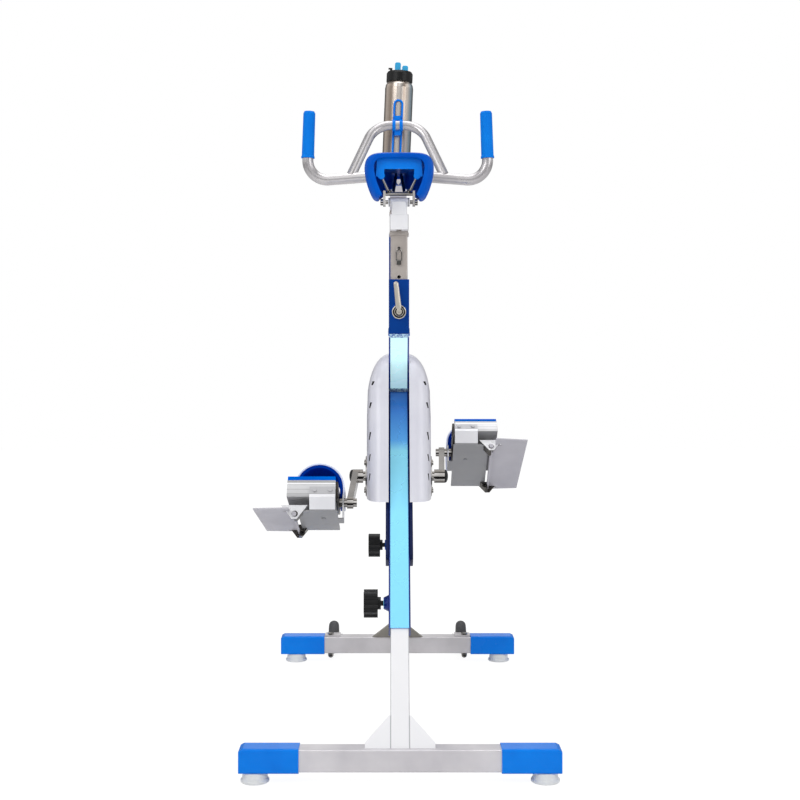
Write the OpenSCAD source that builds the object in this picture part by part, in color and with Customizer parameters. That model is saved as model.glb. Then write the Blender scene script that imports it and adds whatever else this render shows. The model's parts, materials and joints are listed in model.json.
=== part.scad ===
// Aqua bike with an X frame, telescopic legs, water-resistance pedals and a bottle.
// It faces +Y, the rider's right is +X, and the feet stand on Z = 0.

/* [Frame] */
// Height of the crossing above the floor
cross_z = 690; // [670:1:720]
// Lean of the rear leg from vertical, in degrees
rear_lean = 33.5; // [32:0.5:35]
// Lean of the front leg from vertical, in degrees
front_lean = 35.9; // [34.5:0.1:37]
// Outside width of the square blue beams
beam_w = 42; // [42:0.5:44]
// Wall of the beams
beam_wall = 3; // [2.5:0.25:3]
// Length of the rear leg sleeve below the crossing
rear_sleeve = 540; // [500:5:570]
// Length of the front leg sleeve below the crossing
front_sleeve = 516; // [490:5:550]
// Thickness of the side plates and their arms
plate_t = 6; // [4:0.5:7]
// Length of the side plate arms below the crossing
plate_arm = 398; // [360:2:420]
// Width of the side plate arms
plate_arm_w = 46; // [42:1:50]
// Depth of the web between the arms below the crossing
web_drop = 250; // [240:1:265]

/* [Stand] */
// Width of a stabiliser with its caps
bar_len = 580; // [540:2:640]
// Side of the square stabiliser tube
bar_w = 40; // [38:0.5:42]
// Wall of the stabiliser tube
bar_wall = 3; // [2:0.25:4]
// Length of an end cap along the bar
cap_len = 108; // [90:1:120]
// Wall of an end cap
cap_wall = 2.4; // [2:0.1:4]
// Height of the stabiliser's underside above the floor
foot_h = 21; // [18:1:26]
// Diameter of a foot at the floor
foot_d = 52; // [44:1:54]
// Diameter of a foot at its neck
foot_neck_d = 45; // [36:1:46]
// Distance of a rear foot from the end of its bar
rear_foot_in = 28; // [27:1:50]
// Distance of a front foot from the end of its bar
front_foot_in = 37; // [28:1:55]
// Diameter of a foot's stud
foot_stud_d = 8; // [6:1:10]
// Side of the square inner leg tube
leg_w = 35; // [33:0.5:35]
// Wall of the inner leg tube
leg_wall = 2.5; // [2:0.25:4]
// Length of leg that sits inside its sleeve
leg_inside = 230; // [190:5:260]
// Reach of a gusset along the bar
gusset_w = 46; // [36:1:50]
// Height of a gusset along the leg
gusset_h = 52; // [42:1:56]
// Thickness of a gusset
gusset_t = 5; // [3:0.5:8]

/* [Wheels] */
// Diameter of a transport wheel
wheel_d = 82; // [74:1:82]
// Width of a transport wheel
wheel_w = 25; // [20:1:30]
// Gap between a wheel's bracket and the end cap beside it
wheel_side_gap = 1; // [0.5:0.5:6]
// Gap between wheel and stabiliser
wheel_gap = 6; // [6:0.5:10]
// Ground clearance of a wheel
wheel_lift = 1.6; // [1:0.1:4]
// Diameter of a wheel's axle bolt
axle_d = 10; // [8:0.5:12]
// Thickness of the wheel bracket's sheet
bracket_t = 3; // [2:0.5:4]

/* [Leg knobs] */
// Distance of a knob above the end of its sleeve
knob_up = 58; // [50:1:70]
// Diameter of a knob
knob_d = 56; // [46:1:60]
// Thickness of a knob's grip
knob_t = 27; // [20:0.5:30]
// Number of lobes on a knob
knob_lobes = 5; // [4:1:7]
// Diameter of a clamp screw
screw_d = 10; // [8:0.5:12]

/* [Cranks] */
// Depth of the crank axle below the crossing
crank_drop = 183; // [175:1:190]
// Length of a crank between its axles
crank_len = 170; // [160:1:175]
// Turn of the cranks from level, right crank forward and up, in degrees
crank_turn = 12.5; // [0:0.5:30]
// Diameter of the crank axle
crank_axle_d = 20; // [17:0.5:22]
// Outside diameter of the housing tube round the crank axle
shell_d = 48; // [44:1:52]
// Diameter of a crank hub
hub_d = 29; // [26:0.5:32]
// Distance of a hub's inner face from the middle
hub_in = 76; // [76:0.5:78]
// Length of a crank hub
hub_len = 22; // [20:0.5:24]
// Thickness of a crank arm
arm_t = 12.5; // [10:0.5:14]
// Distance of a pedal eye's inner face from the middle
eye_in = 92; // [91:0.5:94]
// Diameter of a pedal eye
eye_d = 24; // [22:0.5:27]
// Diameter of a pedal axle
pedal_axle_d = 12; // [11:0.5:14]

/* [Cover] */
// Half width of the cover over the crank
cover_half = 67; // [66:0.5:68]
// Depth of the cover's lower edge below the crossing
cover_drop = 216; // [210:1:222]
// Height of the cover's top above the crossing
cover_up = 81; // [75:1:90]
// Depth that the cover reaches beyond the side plates at its lower edge
cover_room = 9; // [5:1:14]
// Half depth of the cover where its dome begins
cover_waist = 100; // [90:1:110]
// Height of the cover's dome over which it narrows
cover_taper = 110; // [100:1:120]
// Wall of the cover
cover_wall = 3; // [2:0.25:4]
// Diameter of a bearing flange
flange_d = 86; // [80:1:90]
// Radius of the flange's screw circle
flange_bolt_r = 34; // [33:0.5:36]

/* [Pedals] */
// Width of a pedal body
pedal_w = 94; // [88:1:100]
// Distance of a pedal body's inner end from the middle
pedal_in = 124.5; // [122:0.5:128]
// Nose-down pitch of the left pedal, in degrees
left_pitch = 21; // [0:1:45]
// Nose-down pitch of the right pedal, in degrees
right_pitch = 40; // [0:1:60]
// Reach of a pedal body behind its axle
pedal_back = 86; // [80:1:92]
// Reach of a pedal body ahead of its axle
pedal_front = 60; // [52:1:66]
// Height of a pedal body's top above its axle
pedal_top = 22.5; // [20:0.5:25]
// Depth of a pedal body's underside below its axle
pedal_low = 13.5; // [12:0.5:15]
// Thickness of the blue tread on a pedal
tread_t = 8.5; // [6:0.5:10]
// Outside radius of the foot strap's arch
strap_r = 51; // [49:0.5:53]
// Thickness of the foot strap with both its bands
strap_t = 9.5; // [8:0.5:10]
// Distance of the foot strap's middle from the middle
strap_x = 161; // [160.5:0.5:164]
// Depth of the foot strap from back to front
strap_l = 74; // [40:1:76]
// Thickness of the paddle sheet
paddle_t = 3; // [2:0.5:4]
// Length of the paddle plate
paddle_l = 160; // [140:1:168]
// Depth of the paddle plate below the pedal axle
paddle_low = 35; // [34:0.5:38]
// Width of the paddle's bent tab
tab_w = 50; // [40:1:56]
// Distance of the wing's hinge rod from the middle
rod_x = 204; // [200:0.5:208]
// Diameter of the hinge rod
rod_d = 5; // [4:0.5:6]
// Distance of the wing's outer edge from the middle
wing_out = 283; // [260:1:288]

/* [Saddle] */
// Distance of the saddle tube behind the crossing
saddle_back = 90; // [84:1:96]
// Height of the saddle tube's top above the crossing
saddle_tube_up = 232; // [225:1:245]
// Distance of the saddle clamp lever below the tube's top
saddle_lever_drop = 67; // [60:1:72]
// Visible length of the saddle post
saddle_post_up = 90; // [80:1:110]
// Length of the saddle slider
saddle_slide_l = 170; // [150:1:190]
// Reach of the saddle slider behind its post
saddle_slide_back = 55; // [50:1:62]
// Width of a slider
slide_w = 38; // [36:0.5:40]
// Height of a slider
slide_h = 31; // [28:0.5:34]
// Wall of a slider
slide_wall = 3; // [2.5:0.25:4]
// Height of the saddle head above its slider
head_h = 26; // [24:0.5:40]
// Side of the saddle head
head_w = 31; // [28:0.5:34]
// Diameter of a saddle rail
rail_d = 7; // [6:0.5:8]
// Half width of the saddle
saddle_half = 70.5; // [64:0.5:78]
// Angle through which the saddle's sides curl under, in degrees
saddle_curl = 138; // [120:1:145]
// Thickness of the saddle's shell
saddle_wall = 9; // [7:0.5:10]
// Length of the saddle
saddle_l = 268; // [250:1:290]
// Height of the saddle's crown above its rails
saddle_up = 78; // [74:1:86]

/* [Handlebar] */
// Distance of the handlebar tube ahead of the crossing
bar_tube_fwd = 200; // [190:1:210]
// Height of the handlebar tube's top above the crossing
bar_tube_up = 351; // [340:1:360]
// Length of the handlebar tube
bar_tube_len = 171; // [150:1:180]
// Visible length of the handlebar post
bar_post_up = 44; // [36:1:70]
// Reach of the handlebar slider ahead of its post
bar_slide_fwd = 203; // [180:1:215]
// Height of the handlebar's middle above its slider
stem_h = 76; // [66:1:90]
// Diameter of the handlebar tube
grip_bar_d = 27; // [25:0.5:28]
// Wall of the handlebar tube
grip_bar_wall = 2; // [1.5:0.1:3]
// Half width of the handlebar between its upright ends
grip_bar_half = 221; // [200:1:240]
// Drop of the handlebar towards its ends
grip_bar_drop = 14; // [8:1:20]
// Radius of the handlebar's end bends
grip_bend_r = 48; // [40:1:55]
// Height of a grip's lower end above the handlebar's middle
grip_up = 43; // [39:1:55]
// Length of a grip
grip_len = 114; // [100:1:125]
// Diameter of a grip
grip_d = 30.5; // [30:0.5:34]
// Diameter of the arch tube
arch_d = 24; // [21:0.5:25]
// Half width of the arch at its feet
arch_half = 114; // [105:1:120]
// Half width of the arch at its shoulders
arch_top_half = 56; // [52:1:62]
// Radius of the arch's bends
arch_bend_r = 62; // [50:1:66]
// Height of the arch above the handlebar
arch_h = 134; // [120:1:140]
// Forward lean of the arch, in degrees
arch_lean = 25; // [22:0.5:27]

/* [Bottle] */
// Diameter of the bottle
bottle_d = 71; // [66:0.5:76]
// Height of the bottle's metal body
bottle_h = 236; // [210:1:240]
// Depth of the bottle's bottom below the top of the arch
bottle_drop = 118; // [110:1:123]
// Sideways tilt of the bottle and its cage, in degrees
bottle_tilt = 2.4; // [0:0.2:4]
// Diameter of the cage's rod
cage_d = 5; // [4:0.5:6]
// Height of the bottle's cap
bottle_cap_h = 26; // [20:1:30]

/* [Hidden] */
$fn = 64;

blue = [0.10, 0.42, 0.85];
cap_blue = [0.05, 0.40, 0.85];
steel = [0.78, 0.78, 0.78];
alu = [0.84, 0.84, 0.85];
warm_alu = [0.62, 0.61, 0.58];
pod_white = [0.86, 0.86, 0.91];
black = [0.08, 0.08, 0.09];

// Gaps between pieces
seat_gap = 0.3;
run_gap = 0.05;
weld_gap = 0.02;
hole_gap = 0.3;
over = 1;

// Places that follow from the sizes above, with the middle of the part over the origin
bar_z = foot_h + bar_w / 2;
leg_drop = cross_z - bar_z;
cap_w = bar_w + 2 * (cap_wall + weld_gap);
rear_reach = leg_drop * tan(rear_lean) + max(foot_d, cap_w) / 2;
front_reach = leg_drop * tan(front_lean) + bar_w / 2 + wheel_gap + wheel_d;
cross_y = (rear_reach - front_reach) / 2;
rear_bar_y = cross_y - leg_drop * tan(rear_lean);
front_bar_y = cross_y + leg_drop * tan(front_lean);
rear_bar_s = leg_drop / cos(rear_lean);
front_bar_s = leg_drop / cos(front_lean);
beam_half = beam_w / 2;
beam_in = beam_w - 2 * beam_wall;
crank_y = cross_y;
crank_z = cross_z - crank_drop;
web_z = cross_z - web_drop;
cover_low = cross_z - cover_drop;
cover_top = cross_z + cover_up;
saddle_tube_top = cross_z + saddle_tube_up;
saddle_lever_z = saddle_tube_top - saddle_lever_drop;
bar_tube_top = cross_z + bar_tube_up;
saddle_y = cross_y - saddle_back;
mitre_z = cross_z + saddle_back / tan(front_lean);
bar_tube_y = cross_y + bar_tube_fwd;
cap_end_x = bar_len / 2;
cap_end_t = 5;
bar_half_len = cap_end_x - cap_end_t - weld_gap;
rear_foot_x = cap_end_x - rear_foot_in;
front_foot_x = cap_end_x - front_foot_in;
cheek_in = wheel_w / 2 + 1;
bracket_half = cheek_in + bracket_t + 2.5;
wheel_x = cap_end_x - cap_len - wheel_side_gap - bracket_half;

// Two-dimensional outline of a square tube with round corners
module square_ring(w, wall, corner = 3) {
    difference() {
        rounded_square(w, w, corner);
        rounded_square(w - 2 * wall, w - 2 * wall, max(corner - wall, 0.6));
    }
}

// Rectangle centred on the origin with round corners
module rounded_square(w, h, corner) {
    union() {
        square([w - 2 * corner, h], center = true);
        square([w, h - 2 * corner], center = true);
        for (x = [-1, 1], y = [-1, 1])
            translate([x * (w / 2 - corner), y * (h / 2 - corner)])
                circle(r = corner, $fn = 24);
    }
}

// Square tube along +Z
module square_tube(w, wall, len, corner = 3)
    linear_extrude(len) square_ring(w, wall, corner);

// Frames that follow the two beams, with Z up along the beam from the crossing
module on_rear_line() translate([0, cross_y, cross_z]) rotate([-rear_lean, 0, 0]) children();
module on_front_line() translate([0, cross_y, cross_z]) rotate([front_lean, 0, 0]) children();

// Side-view outline (Y, Z) given a thickness along +X
module side_plate_form(t) rotate([90, 0, 90]) linear_extrude(t) children();

// Cylinder along X between two distances
module x_rod(x0, x1, r) translate([x0, 0, 0]) rotate([0, 90, 0]) cylinder(h = x1 - x0, r = r);

// Cylinder along Y between two distances
module y_rod(y0, y1, r) translate([0, y0, 0]) rotate([-90, 0, 0]) cylinder(h = y1 - y0, r = r);

module both_sides() {
    children();
    mirror([1, 0, 0]) children();
}

module on_side(side) mirror([side < 0 ? 1 : 0, 0, 0]) children();

// Round rod between two points
module rod(a, b, r) {
    d = b - a;
    len = norm(d);
    turn = atan2(d[1], d[0]);
    lean = acos(d[2] / len);
    translate(a) rotate([0, lean, turn]) cylinder(h = len, r = r);
}

// Round rod through several points, with a ball at each inner corner
module rod_path(points, r) {
    for (i = [0 : len(points) - 2]) rod(points[i], points[i + 1], r - weld_gap);
    for (i = [1 : len(points) - 2]) translate(points[i]) sphere(r = r);
}

// Angle of a plane direction
function heading(v) = atan2(v[1], v[0]);
// Signed turn from one direction to the next, within half a turn
function turn_of(a, b) =
    let (t = heading(b) - heading(a)) t > 180 ? t - 360 : t < -180 ? t + 360 : t;
function unit(v) = v / norm(v);

// Bent round bar in the XY plane: corners are points with bend radii
bend_lap = 0.5;
bend_step = 0.1;
module bent_bar(points, radii, r) {
    last = len(points) - 1;
    cut = [for (i = [0 : last]) (i == 0 || i == last) ? 0 :
        radii[i] * tan(abs(turn_of(points[i] - points[i - 1], points[i + 1] - points[i])) / 2)];
    for (i = [0 : last - 1]) {
        way = unit(points[i + 1] - points[i]);
        a = points[i] + way * (cut[i] - (i == 0 ? 0 : bend_lap));
        b = points[i + 1] - way * (cut[i + 1] - (i == last - 1 ? 0 : bend_lap));
        translate([a[0], a[1], 0]) rotate([0, 90, heading(way)])
            cylinder(h = norm(b - a), r = r - bend_step, $fn = 48);
    }
    for (i = [1 : last - 1]) {
        way = unit(points[i] - points[i - 1]);
        turn = turn_of(way, points[i + 1] - points[i]);
        side = turn > 0 ? 1 : -1;
        start = points[i] - way * cut[i];
        centre = start + side * radii[i] * [-way[1], way[0]];
        translate([centre[0], centre[1], 0])
            rotate([0, 0, heading(way) - side * 90 + (turn < 0 ? turn : 0)])
                rotate_extrude(angle = abs(turn), $fn = 96)
                    translate([radii[i], 0]) circle(r = r, $fn = 48);
    }
}

// Closed solid between an outer and an inner grid of points
module thick_sheet(outer, inner) {
    rows = len(outer);
    cols = len(outer[0]);
    count = rows * cols;
    points = concat([for (row = outer) for (p = row) p], [for (row = inner) for (p = row) p]);
    skin = [for (i = [0 : rows - 2], j = [0 : cols - 2])
        let (a = i * cols + j, b = a + 1, c = a + cols, d = c + 1) each [[a, b, d], [a, d, c]]];
    lining = [for (i = [0 : rows - 2], j = [0 : cols - 2])
        let (a = count + i * cols + j, b = a + 1, c = a + cols, d = c + 1)
            each [[a, d, b], [a, c, d]]];
    ends = [for (j = [0 : cols - 2], end = [0, 1])
        let (a = end * (rows - 1) * cols + j, b = a + 1, c = a + count, d = b + count)
            each end == 0 ? [[a, c, d], [a, d, b]] : [[a, d, c], [a, b, d]]];
    edges = [for (i = [0 : rows - 2], end = [0, 1])
        let (a = i * cols + end * (cols - 1), b = a + cols, c = a + count, d = b + count)
            each end == 0 ? [[a, b, d], [a, d, c]] : [[a, d, b], [a, c, d]]];
    polyhedron(points, concat(skin, lining, ends, edges), convexity = 8);
}

// Welded frame
boss_len = 10;
boss_r = 16;
boss_neck_r = 11;
knob_rear_s = -(rear_sleeve - knob_up);
knob_front_s = -(front_sleeve - knob_up);

// Blue boss on the left wall of a sleeve, cut for the clamp screw
module boss_at(s) translate([-beam_half, 0, s]) rotate([0, -90, 0])
    cylinder(h = boss_len, r1 = boss_r, r2 = boss_neck_r);
module boss_hole_at(s) translate([0, 0, s])
    x_rod(-beam_half - boss_len - over, -beam_in / 2 + over, screw_d / 2 + hole_gap);

module main_beam() color(blue) difference() {
    on_rear_line() difference() {
        union() {
            translate([0, 0, -rear_sleeve])
                square_tube(beam_w, beam_wall, rear_sleeve + bar_tube_fwd / sin(rear_lean));
            boss_at(knob_rear_s);
        }
        boss_hole_at(knob_rear_s);
    }
    translate([-beam_w, bar_tube_y - beam_half, cross_z]) cube([2 * beam_w, beam_w * 3, bar_tube_top]);
}

module main_beam_space() on_rear_line()
    translate([-beam_half, -beam_half, -rear_sleeve]) cube([beam_w, beam_w, rear_sleeve * 2]);

module front_beam() color(blue) difference() {
    on_front_line() difference() {
        union() {
            translate([0, 0, -front_sleeve]) square_tube(beam_w, beam_wall, front_sleeve);
            boss_at(knob_front_s);
        }
        boss_hole_at(knob_front_s);
    }
    main_beam_space();
}

// Everything above the slanted joint between strut and saddle tube
module above_mitre() translate([0, saddle_y, mitre_z]) rotate([front_lean / 2, 0, 0])
    translate([-beam_w, -3 * beam_w, 0]) cube([2 * beam_w, 6 * beam_w, saddle_tube_top]);

module saddle_strut() color(blue) difference() {
    on_front_line() square_tube(beam_w, beam_wall, saddle_back / sin(front_lean) + beam_w);
    main_beam_space();
    above_mitre();
}

lever_pad_r = 17;
lever_pad_t = 3;
module lever_pad(z, y) translate([0, y, z]) y_rod(-beam_half - lever_pad_t, -beam_half, lever_pad_r);
module lever_hole(z, y)
    translate([0, y, z]) y_rod(-beam_half - lever_pad_t - over, 0, screw_d / 2 + hole_gap);

module saddle_tube() color(blue) difference() {
    union() {
        intersection() {
            translate([0, saddle_y, mitre_z - beam_w])
                square_tube(beam_w, beam_wall, saddle_tube_top - mitre_z + beam_w);
            above_mitre();
        }
        lever_pad(saddle_lever_z, saddle_y);
    }
    lever_hole(saddle_lever_z, saddle_y);
}

bar_lever_drop = 45;
bar_lever_z = bar_tube_top - bar_lever_drop;
module handlebar_tube() color(blue) difference() {
    union() {
        translate([0, bar_tube_y, bar_tube_top - bar_tube_len])
            square_tube(beam_w, beam_wall, bar_tube_len);
        translate([0, bar_tube_y, bar_lever_z])
            y_rod(beam_half, beam_half + lever_pad_t, lever_pad_r);
    }
    translate([0, bar_tube_y, bar_lever_z])
        y_rod(0, beam_half + lever_pad_t + over, screw_d / 2 + hole_gap);
}

// Side plates and housing tube for the crank axle
shell_bore_r = shell_d / 2 - 4;
bush_len = 20;
shell_half = cover_half - cover_wall - 2;
plate_corner = 10;
web_notch_r = 92;
web_notch_drop = 78;
web_top = cross_z + 14;
module arm_outline(lean)
    translate([cross_y, cross_z]) rotate(lean)
        translate([0, -plate_arm / 2]) rounded_square(plate_arm_w, plate_arm, plate_corner);

module web_outline() {
    reach = (cross_z - web_z);
    polygon([[cross_y, web_top],
        [cross_y - reach * tan(rear_lean), web_z], [cross_y + reach * tan(front_lean), web_z]]);
}

module plate_outline() difference() {
    union() {
        arm_outline(-rear_lean);
        arm_outline(front_lean);
        web_outline();
    }
    translate([crank_y, web_z - web_notch_drop]) circle(r = web_notch_r);
}

module crank_housing() color(blue) difference() {
    union() {
        both_sides() translate([beam_half + weld_gap, 0, 0])
            side_plate_form(plate_t) plate_outline();
        translate([0, crank_y, crank_z]) x_rod(-shell_half, shell_half, shell_d / 2);
    }
    translate([0, crank_y, crank_z]) x_rod(-shell_half - over, shell_half + over, shell_bore_r);
}

module crank_bushes() color(black) translate([0, crank_y, crank_z]) both_sides() difference() {
    x_rod(shell_half - bush_len, shell_half, shell_bore_r - weld_gap);
    x_rod(shell_half - bush_len - over, shell_half + over, crank_axle_d / 2 + run_gap);
}

flange_t = 3;
flange_neck_r = shell_d / 2 + 3;
flange_face = cover_half + seat_gap + flange_t;
module bearing_flanges() color(steel) translate([0, crank_y, crank_z]) both_sides() difference() {
    union() {
        x_rod(shell_half + weld_gap, cover_half + seat_gap, flange_neck_r);
        x_rod(cover_half + seat_gap, flange_face, flange_d / 2);
    }
    x_rod(shell_half - over, flange_face + over, crank_axle_d / 2 + hole_gap);
    for (i = [0 : 5]) rotate([i * 60 + 30, 0, 0]) translate([0, 0, flange_bolt_r])
        x_rod(cover_half - over, flange_face + over, cover_screw_r + hole_gap);
}

cover_screw_r = 2.5;
cover_head_r = 4.6;
cover_head_t = 3.2;
module cover_screws() color(steel) both_sides() {
    translate([0, crank_y, crank_z]) for (i = [0 : 5]) rotate([i * 60 + 30, 0, 0])
        translate([0, 0, flange_bolt_r]) {
            x_rod(cover_half - 12, flange_face + 1, cover_screw_r);
            x_rod(flange_face, flange_face + cover_head_t, cover_head_r);
        }
}

// Cover halves, lofted from level sections, open below and where the beams pass
cover_seam = 0.15;
cover_slot = beam_half + seat_gap;
cover_end_a = 1.2;
dome_h = cover_top - cross_z;
dome_rows = 9;
side_rows = 4;
cover_cols = 24;
dome_end = 88;
side_power = 0.35;
face_power = 0.4;
taper_power = 1 / 3;
cover_deep = (cross_z - cover_low) * tan(max(front_lean, rear_lean)) + cover_wall + cover_room
    + plate_arm_w / 2 / cos(max(front_lean, rear_lean)) - plate_t;
function cover_a(z, shrink) =
    let (u = max(0, (z + shrink - (cover_top - cover_taper)) / cover_taper))
        max((cover_half - shrink) * pow(max(0, 1 - u * u), taper_power) - cover_seam, cover_end_a);
function cover_ring(z, b, shrink) = [for (j = [0 : cover_cols]) let (p = 180 * j / cover_cols)
    [cover_seam + cover_a(z, shrink) * pow(sin(p), side_power),
        cross_y + b * sign(cos(p)) * pow(abs(cos(p)), face_power), z]];
// Lower rows run straight, upper rows follow the dome
function cover_grid(shrink) = concat(
    [for (i = [0 : side_rows - 1]) let (t = i / side_rows)
        cover_ring(cover_low + (cross_z - cover_low) * t,
            cover_deep - (cover_deep - cover_waist) * t - shrink, shrink)],
    [for (i = [0 : dome_rows]) let (v = dome_end * i / dome_rows)
        cover_ring(cross_z + (dome_h - shrink) * sin(v), (cover_waist - shrink) * cos(v), shrink)]);

// Side view of all that the two beams take up, with what lies behind and ahead of them
slot_reach = 2 * cover_top;
module slot_outline() translate([cross_y, cross_z]) for (turn = [front_lean, 180 - rear_lean])
    rotate(turn) translate([-slot_reach, -slot_reach])
        square([slot_reach + cover_slot, 2 * slot_reach]);

vent_z = [708, 663, 601, 558, 520];
vent_len = [8, 12, 16, 14, 14];
vent_w = 6;
vent_share = 0.86;
function cover_half_depth(z) = z > cross_z ? cover_waist :
    cover_deep - (cover_deep - cover_waist) * (z - cover_low) / (cross_z - cover_low);
module cover_half_shell() difference() {
    thick_sheet(cover_grid(0), cover_grid(cover_wall));
    translate([-over, 0, 0]) side_plate_form(cover_slot + over) slot_outline();
    translate([0, crank_y, crank_z]) x_rod(0, cover_half + over, flange_neck_r + 0.4);
    translate([0, crank_y, crank_z]) for (i = [0 : 5]) rotate([i * 60 + 30, 0, 0])
        translate([0, 0, flange_bolt_r])
            x_rod(cover_half - 12, cover_half + over, cover_screw_r + hole_gap);
    for (i = [0 : len(vent_z) - 1], y = [-1, 1])
        translate([cover_half, cross_y + y * vent_share * cover_half_depth(vent_z[i]), vent_z[i]])
            cube([cover_half, vent_w, vent_len[i]], center = true);
}
module cover_left() color(pod_white) mirror([1, 0, 0]) cover_half_shell();
module cover_right() color(pod_white) cover_half_shell();

// Stabiliser bars, caps and feet
module stabiliser(y) color(alu) translate([-bar_half_len, y, bar_z]) rotate([90, 0, 90])
    difference() {
        square_tube(bar_w, bar_wall, 2 * bar_half_len);
    }
module foot_holes(y, x) both_sides() translate([x, y, 0])
    cylinder(h = foot_h + bar_w / 2, r = foot_stud_d / 2 + hole_gap);

module rear_bar() difference() {
    stabiliser(rear_bar_y);
    foot_holes(rear_bar_y, rear_foot_x);
}
module front_bar() difference() {
    stabiliser(front_bar_y);
    foot_holes(front_bar_y, front_foot_x);
    wheel_bolt_holes();
}

// One cap, closed at its outer end, with a sloped top corner
cap_slope = 8;
module end_cap(y) translate([cap_end_x - cap_len, y, bar_z]) difference() {
    rotate([90, 0, 90]) linear_extrude(cap_len) rounded_square(cap_w, cap_w, 5);
    translate([-over, 0, 0]) rotate([90, 0, 90])
        linear_extrude(cap_len - cap_end_t + over)
            rounded_square(bar_w + 2 * weld_gap, bar_w + 2 * weld_gap, 3);
    translate([cap_len, 0, cap_w / 2]) rotate([0, 30, 0])
        cube([2 * cap_slope, 2 * cap_w, cap_slope], center = true);
}
module end_caps(y, foot_x) color(cap_blue) difference() {
    both_sides() end_cap(y);
    foot_holes(y, foot_x);
}
module rear_end_caps() end_caps(rear_bar_y, rear_foot_x);
module front_end_caps() end_caps(front_bar_y, front_foot_x);

foot_top = foot_h - cap_wall - 2 * weld_gap;
foot_lip = 4;
module feet(y, x) color([0.90, 0.91, 0.90]) both_sides() translate([x, y, 0]) rotate_extrude()
    polygon([[0, 0], [foot_d / 2 - 1, 0], [foot_d / 2, 1], [foot_d / 2, foot_lip],
        [foot_neck_d / 2 + 0.6, foot_lip + 3], [foot_neck_d / 2, foot_top - 1.5],
        [foot_neck_d / 2 - 1.5, foot_top], [foot_stud_d / 2, foot_top],
        [foot_stud_d / 2, foot_h + bar_wall + 6], [0, foot_h + bar_wall + 6]]);
module rear_feet() feet(rear_bar_y, rear_foot_x);
module front_feet() feet(front_bar_y, front_foot_x);

// Inner legs with their gussets, cut level where they stand on the bar
gusset_top_w = 3;
gusset_edge = 3;
module leg(bar_s, sleeve, gusset_y) {
    top_s = -sleeve + leg_inside;
    translate([0, 0, -bar_s]) square_tube(leg_w, leg_wall, bar_s + top_s);
    both_sides() translate([leg_w / 2, gusset_y + gusset_t / 2, -bar_s]) rotate([90, 0, 0])
        linear_extrude(gusset_t) polygon([[-over, 0], [gusset_w, 0], [gusset_w, bar_w / 2 + gusset_edge],
            [gusset_top_w, bar_w / 2 + gusset_h], [-over, bar_w / 2 + gusset_h]]);
}
module below_bar_top(y) translate([-bar_w * 2, y - bar_w * 2, bar_z - bar_w / 2])
    cube([bar_w * 4, bar_w * 4, bar_w]);
module rear_leg() color(alu) difference() {
    on_rear_line() leg(rear_bar_s, rear_sleeve, (gusset_t - leg_w) / 2);
    below_bar_top(rear_bar_y);
}
module front_leg() color(warm_alu) difference() {
    on_front_line() leg(front_bar_s, front_sleeve, 0);
    below_bar_top(front_bar_y);
}

// Transport wheels
wheel_y = front_bar_y + bar_w / 2 + wheel_gap + wheel_d / 2;
wheel_z = wheel_lift + wheel_d / 2;
wheel_crown = 11;
wheel_hub_r = 20;
wheel_web_r = 27;
wheel_dish = 4;
wheel_half = wheel_w / 2;
tread_r = wheel_d / 2 - wheel_crown;
module wheel() translate([wheel_x, wheel_y, wheel_z]) rotate([0, 90, 0]) rotate_extrude($fn = 96)
    polygon(concat([[axle_d / 2 + run_gap, -wheel_half], [wheel_hub_r, -wheel_half],
        [wheel_hub_r + 2, -wheel_half + wheel_dish], [wheel_web_r, -wheel_half + wheel_dish],
        [wheel_web_r + 1, -wheel_half + 1]],
        [for (a = [-84 : 12 : 84]) [tread_r + wheel_crown * cos(a), wheel_half * sin(a)]],
        [[wheel_web_r + 1, wheel_half - 1], [wheel_web_r, wheel_half - wheel_dish],
        [wheel_hub_r + 2, wheel_half - wheel_dish], [wheel_hub_r, wheel_half],
        [axle_d / 2 + run_gap, wheel_half]]));
module wheel_left() color(black) mirror([1, 0, 0]) wheel();
module wheel_right() color(black) wheel();

bar_front_y = front_bar_y + bar_w / 2;
bolt_r = 4;
bolt_out = 5;
bolt_head_r = 8;
bolt_head_h = 4;
nut_r = 7;
nut_h = 8;
wheel_bolt_x = wheel_x + bolt_out;
bracket_top_z = bar_z + bar_w / 2 + bracket_t;
module wheel_bolt_holes() both_sides() translate([wheel_bolt_x, front_bar_y, bar_z - bar_w])
    cylinder(h = 2 * bar_w, r = bolt_r + hole_gap);
module wheel_brackets() color(steel) both_sides() difference() {
    translate([wheel_x, 0, 0]) union() {
        translate([-bracket_half, front_bar_y - 12, bar_z + bar_w / 2])
            cube([2 * bracket_half, bar_w / 2 + 12 + bracket_t, bracket_t]);
        translate([-bracket_half, bar_front_y, bar_z - bar_w / 2 + 6])
            cube([2 * bracket_half, bracket_t, bar_w - 6 + bracket_t]);
        for (side = [-1, 1]) translate([side < 0 ? -cheek_in - bracket_t : cheek_in, 0, 0])
            side_plate_form(bracket_t) polygon([[bar_front_y, bar_z - bar_w / 2 + 6],
                [wheel_y + 4, wheel_z - 12], [wheel_y + 13, wheel_z - 4], [wheel_y + 13, wheel_z + 4],
                [wheel_y + 4, wheel_z + 12], [bar_front_y, bar_z + bar_w / 2]]);
    }
    translate([wheel_x, wheel_y, wheel_z]) x_rod(-40, 40, axle_d / 2 + weld_gap);
    wheel_bolt_holes();
}
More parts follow.
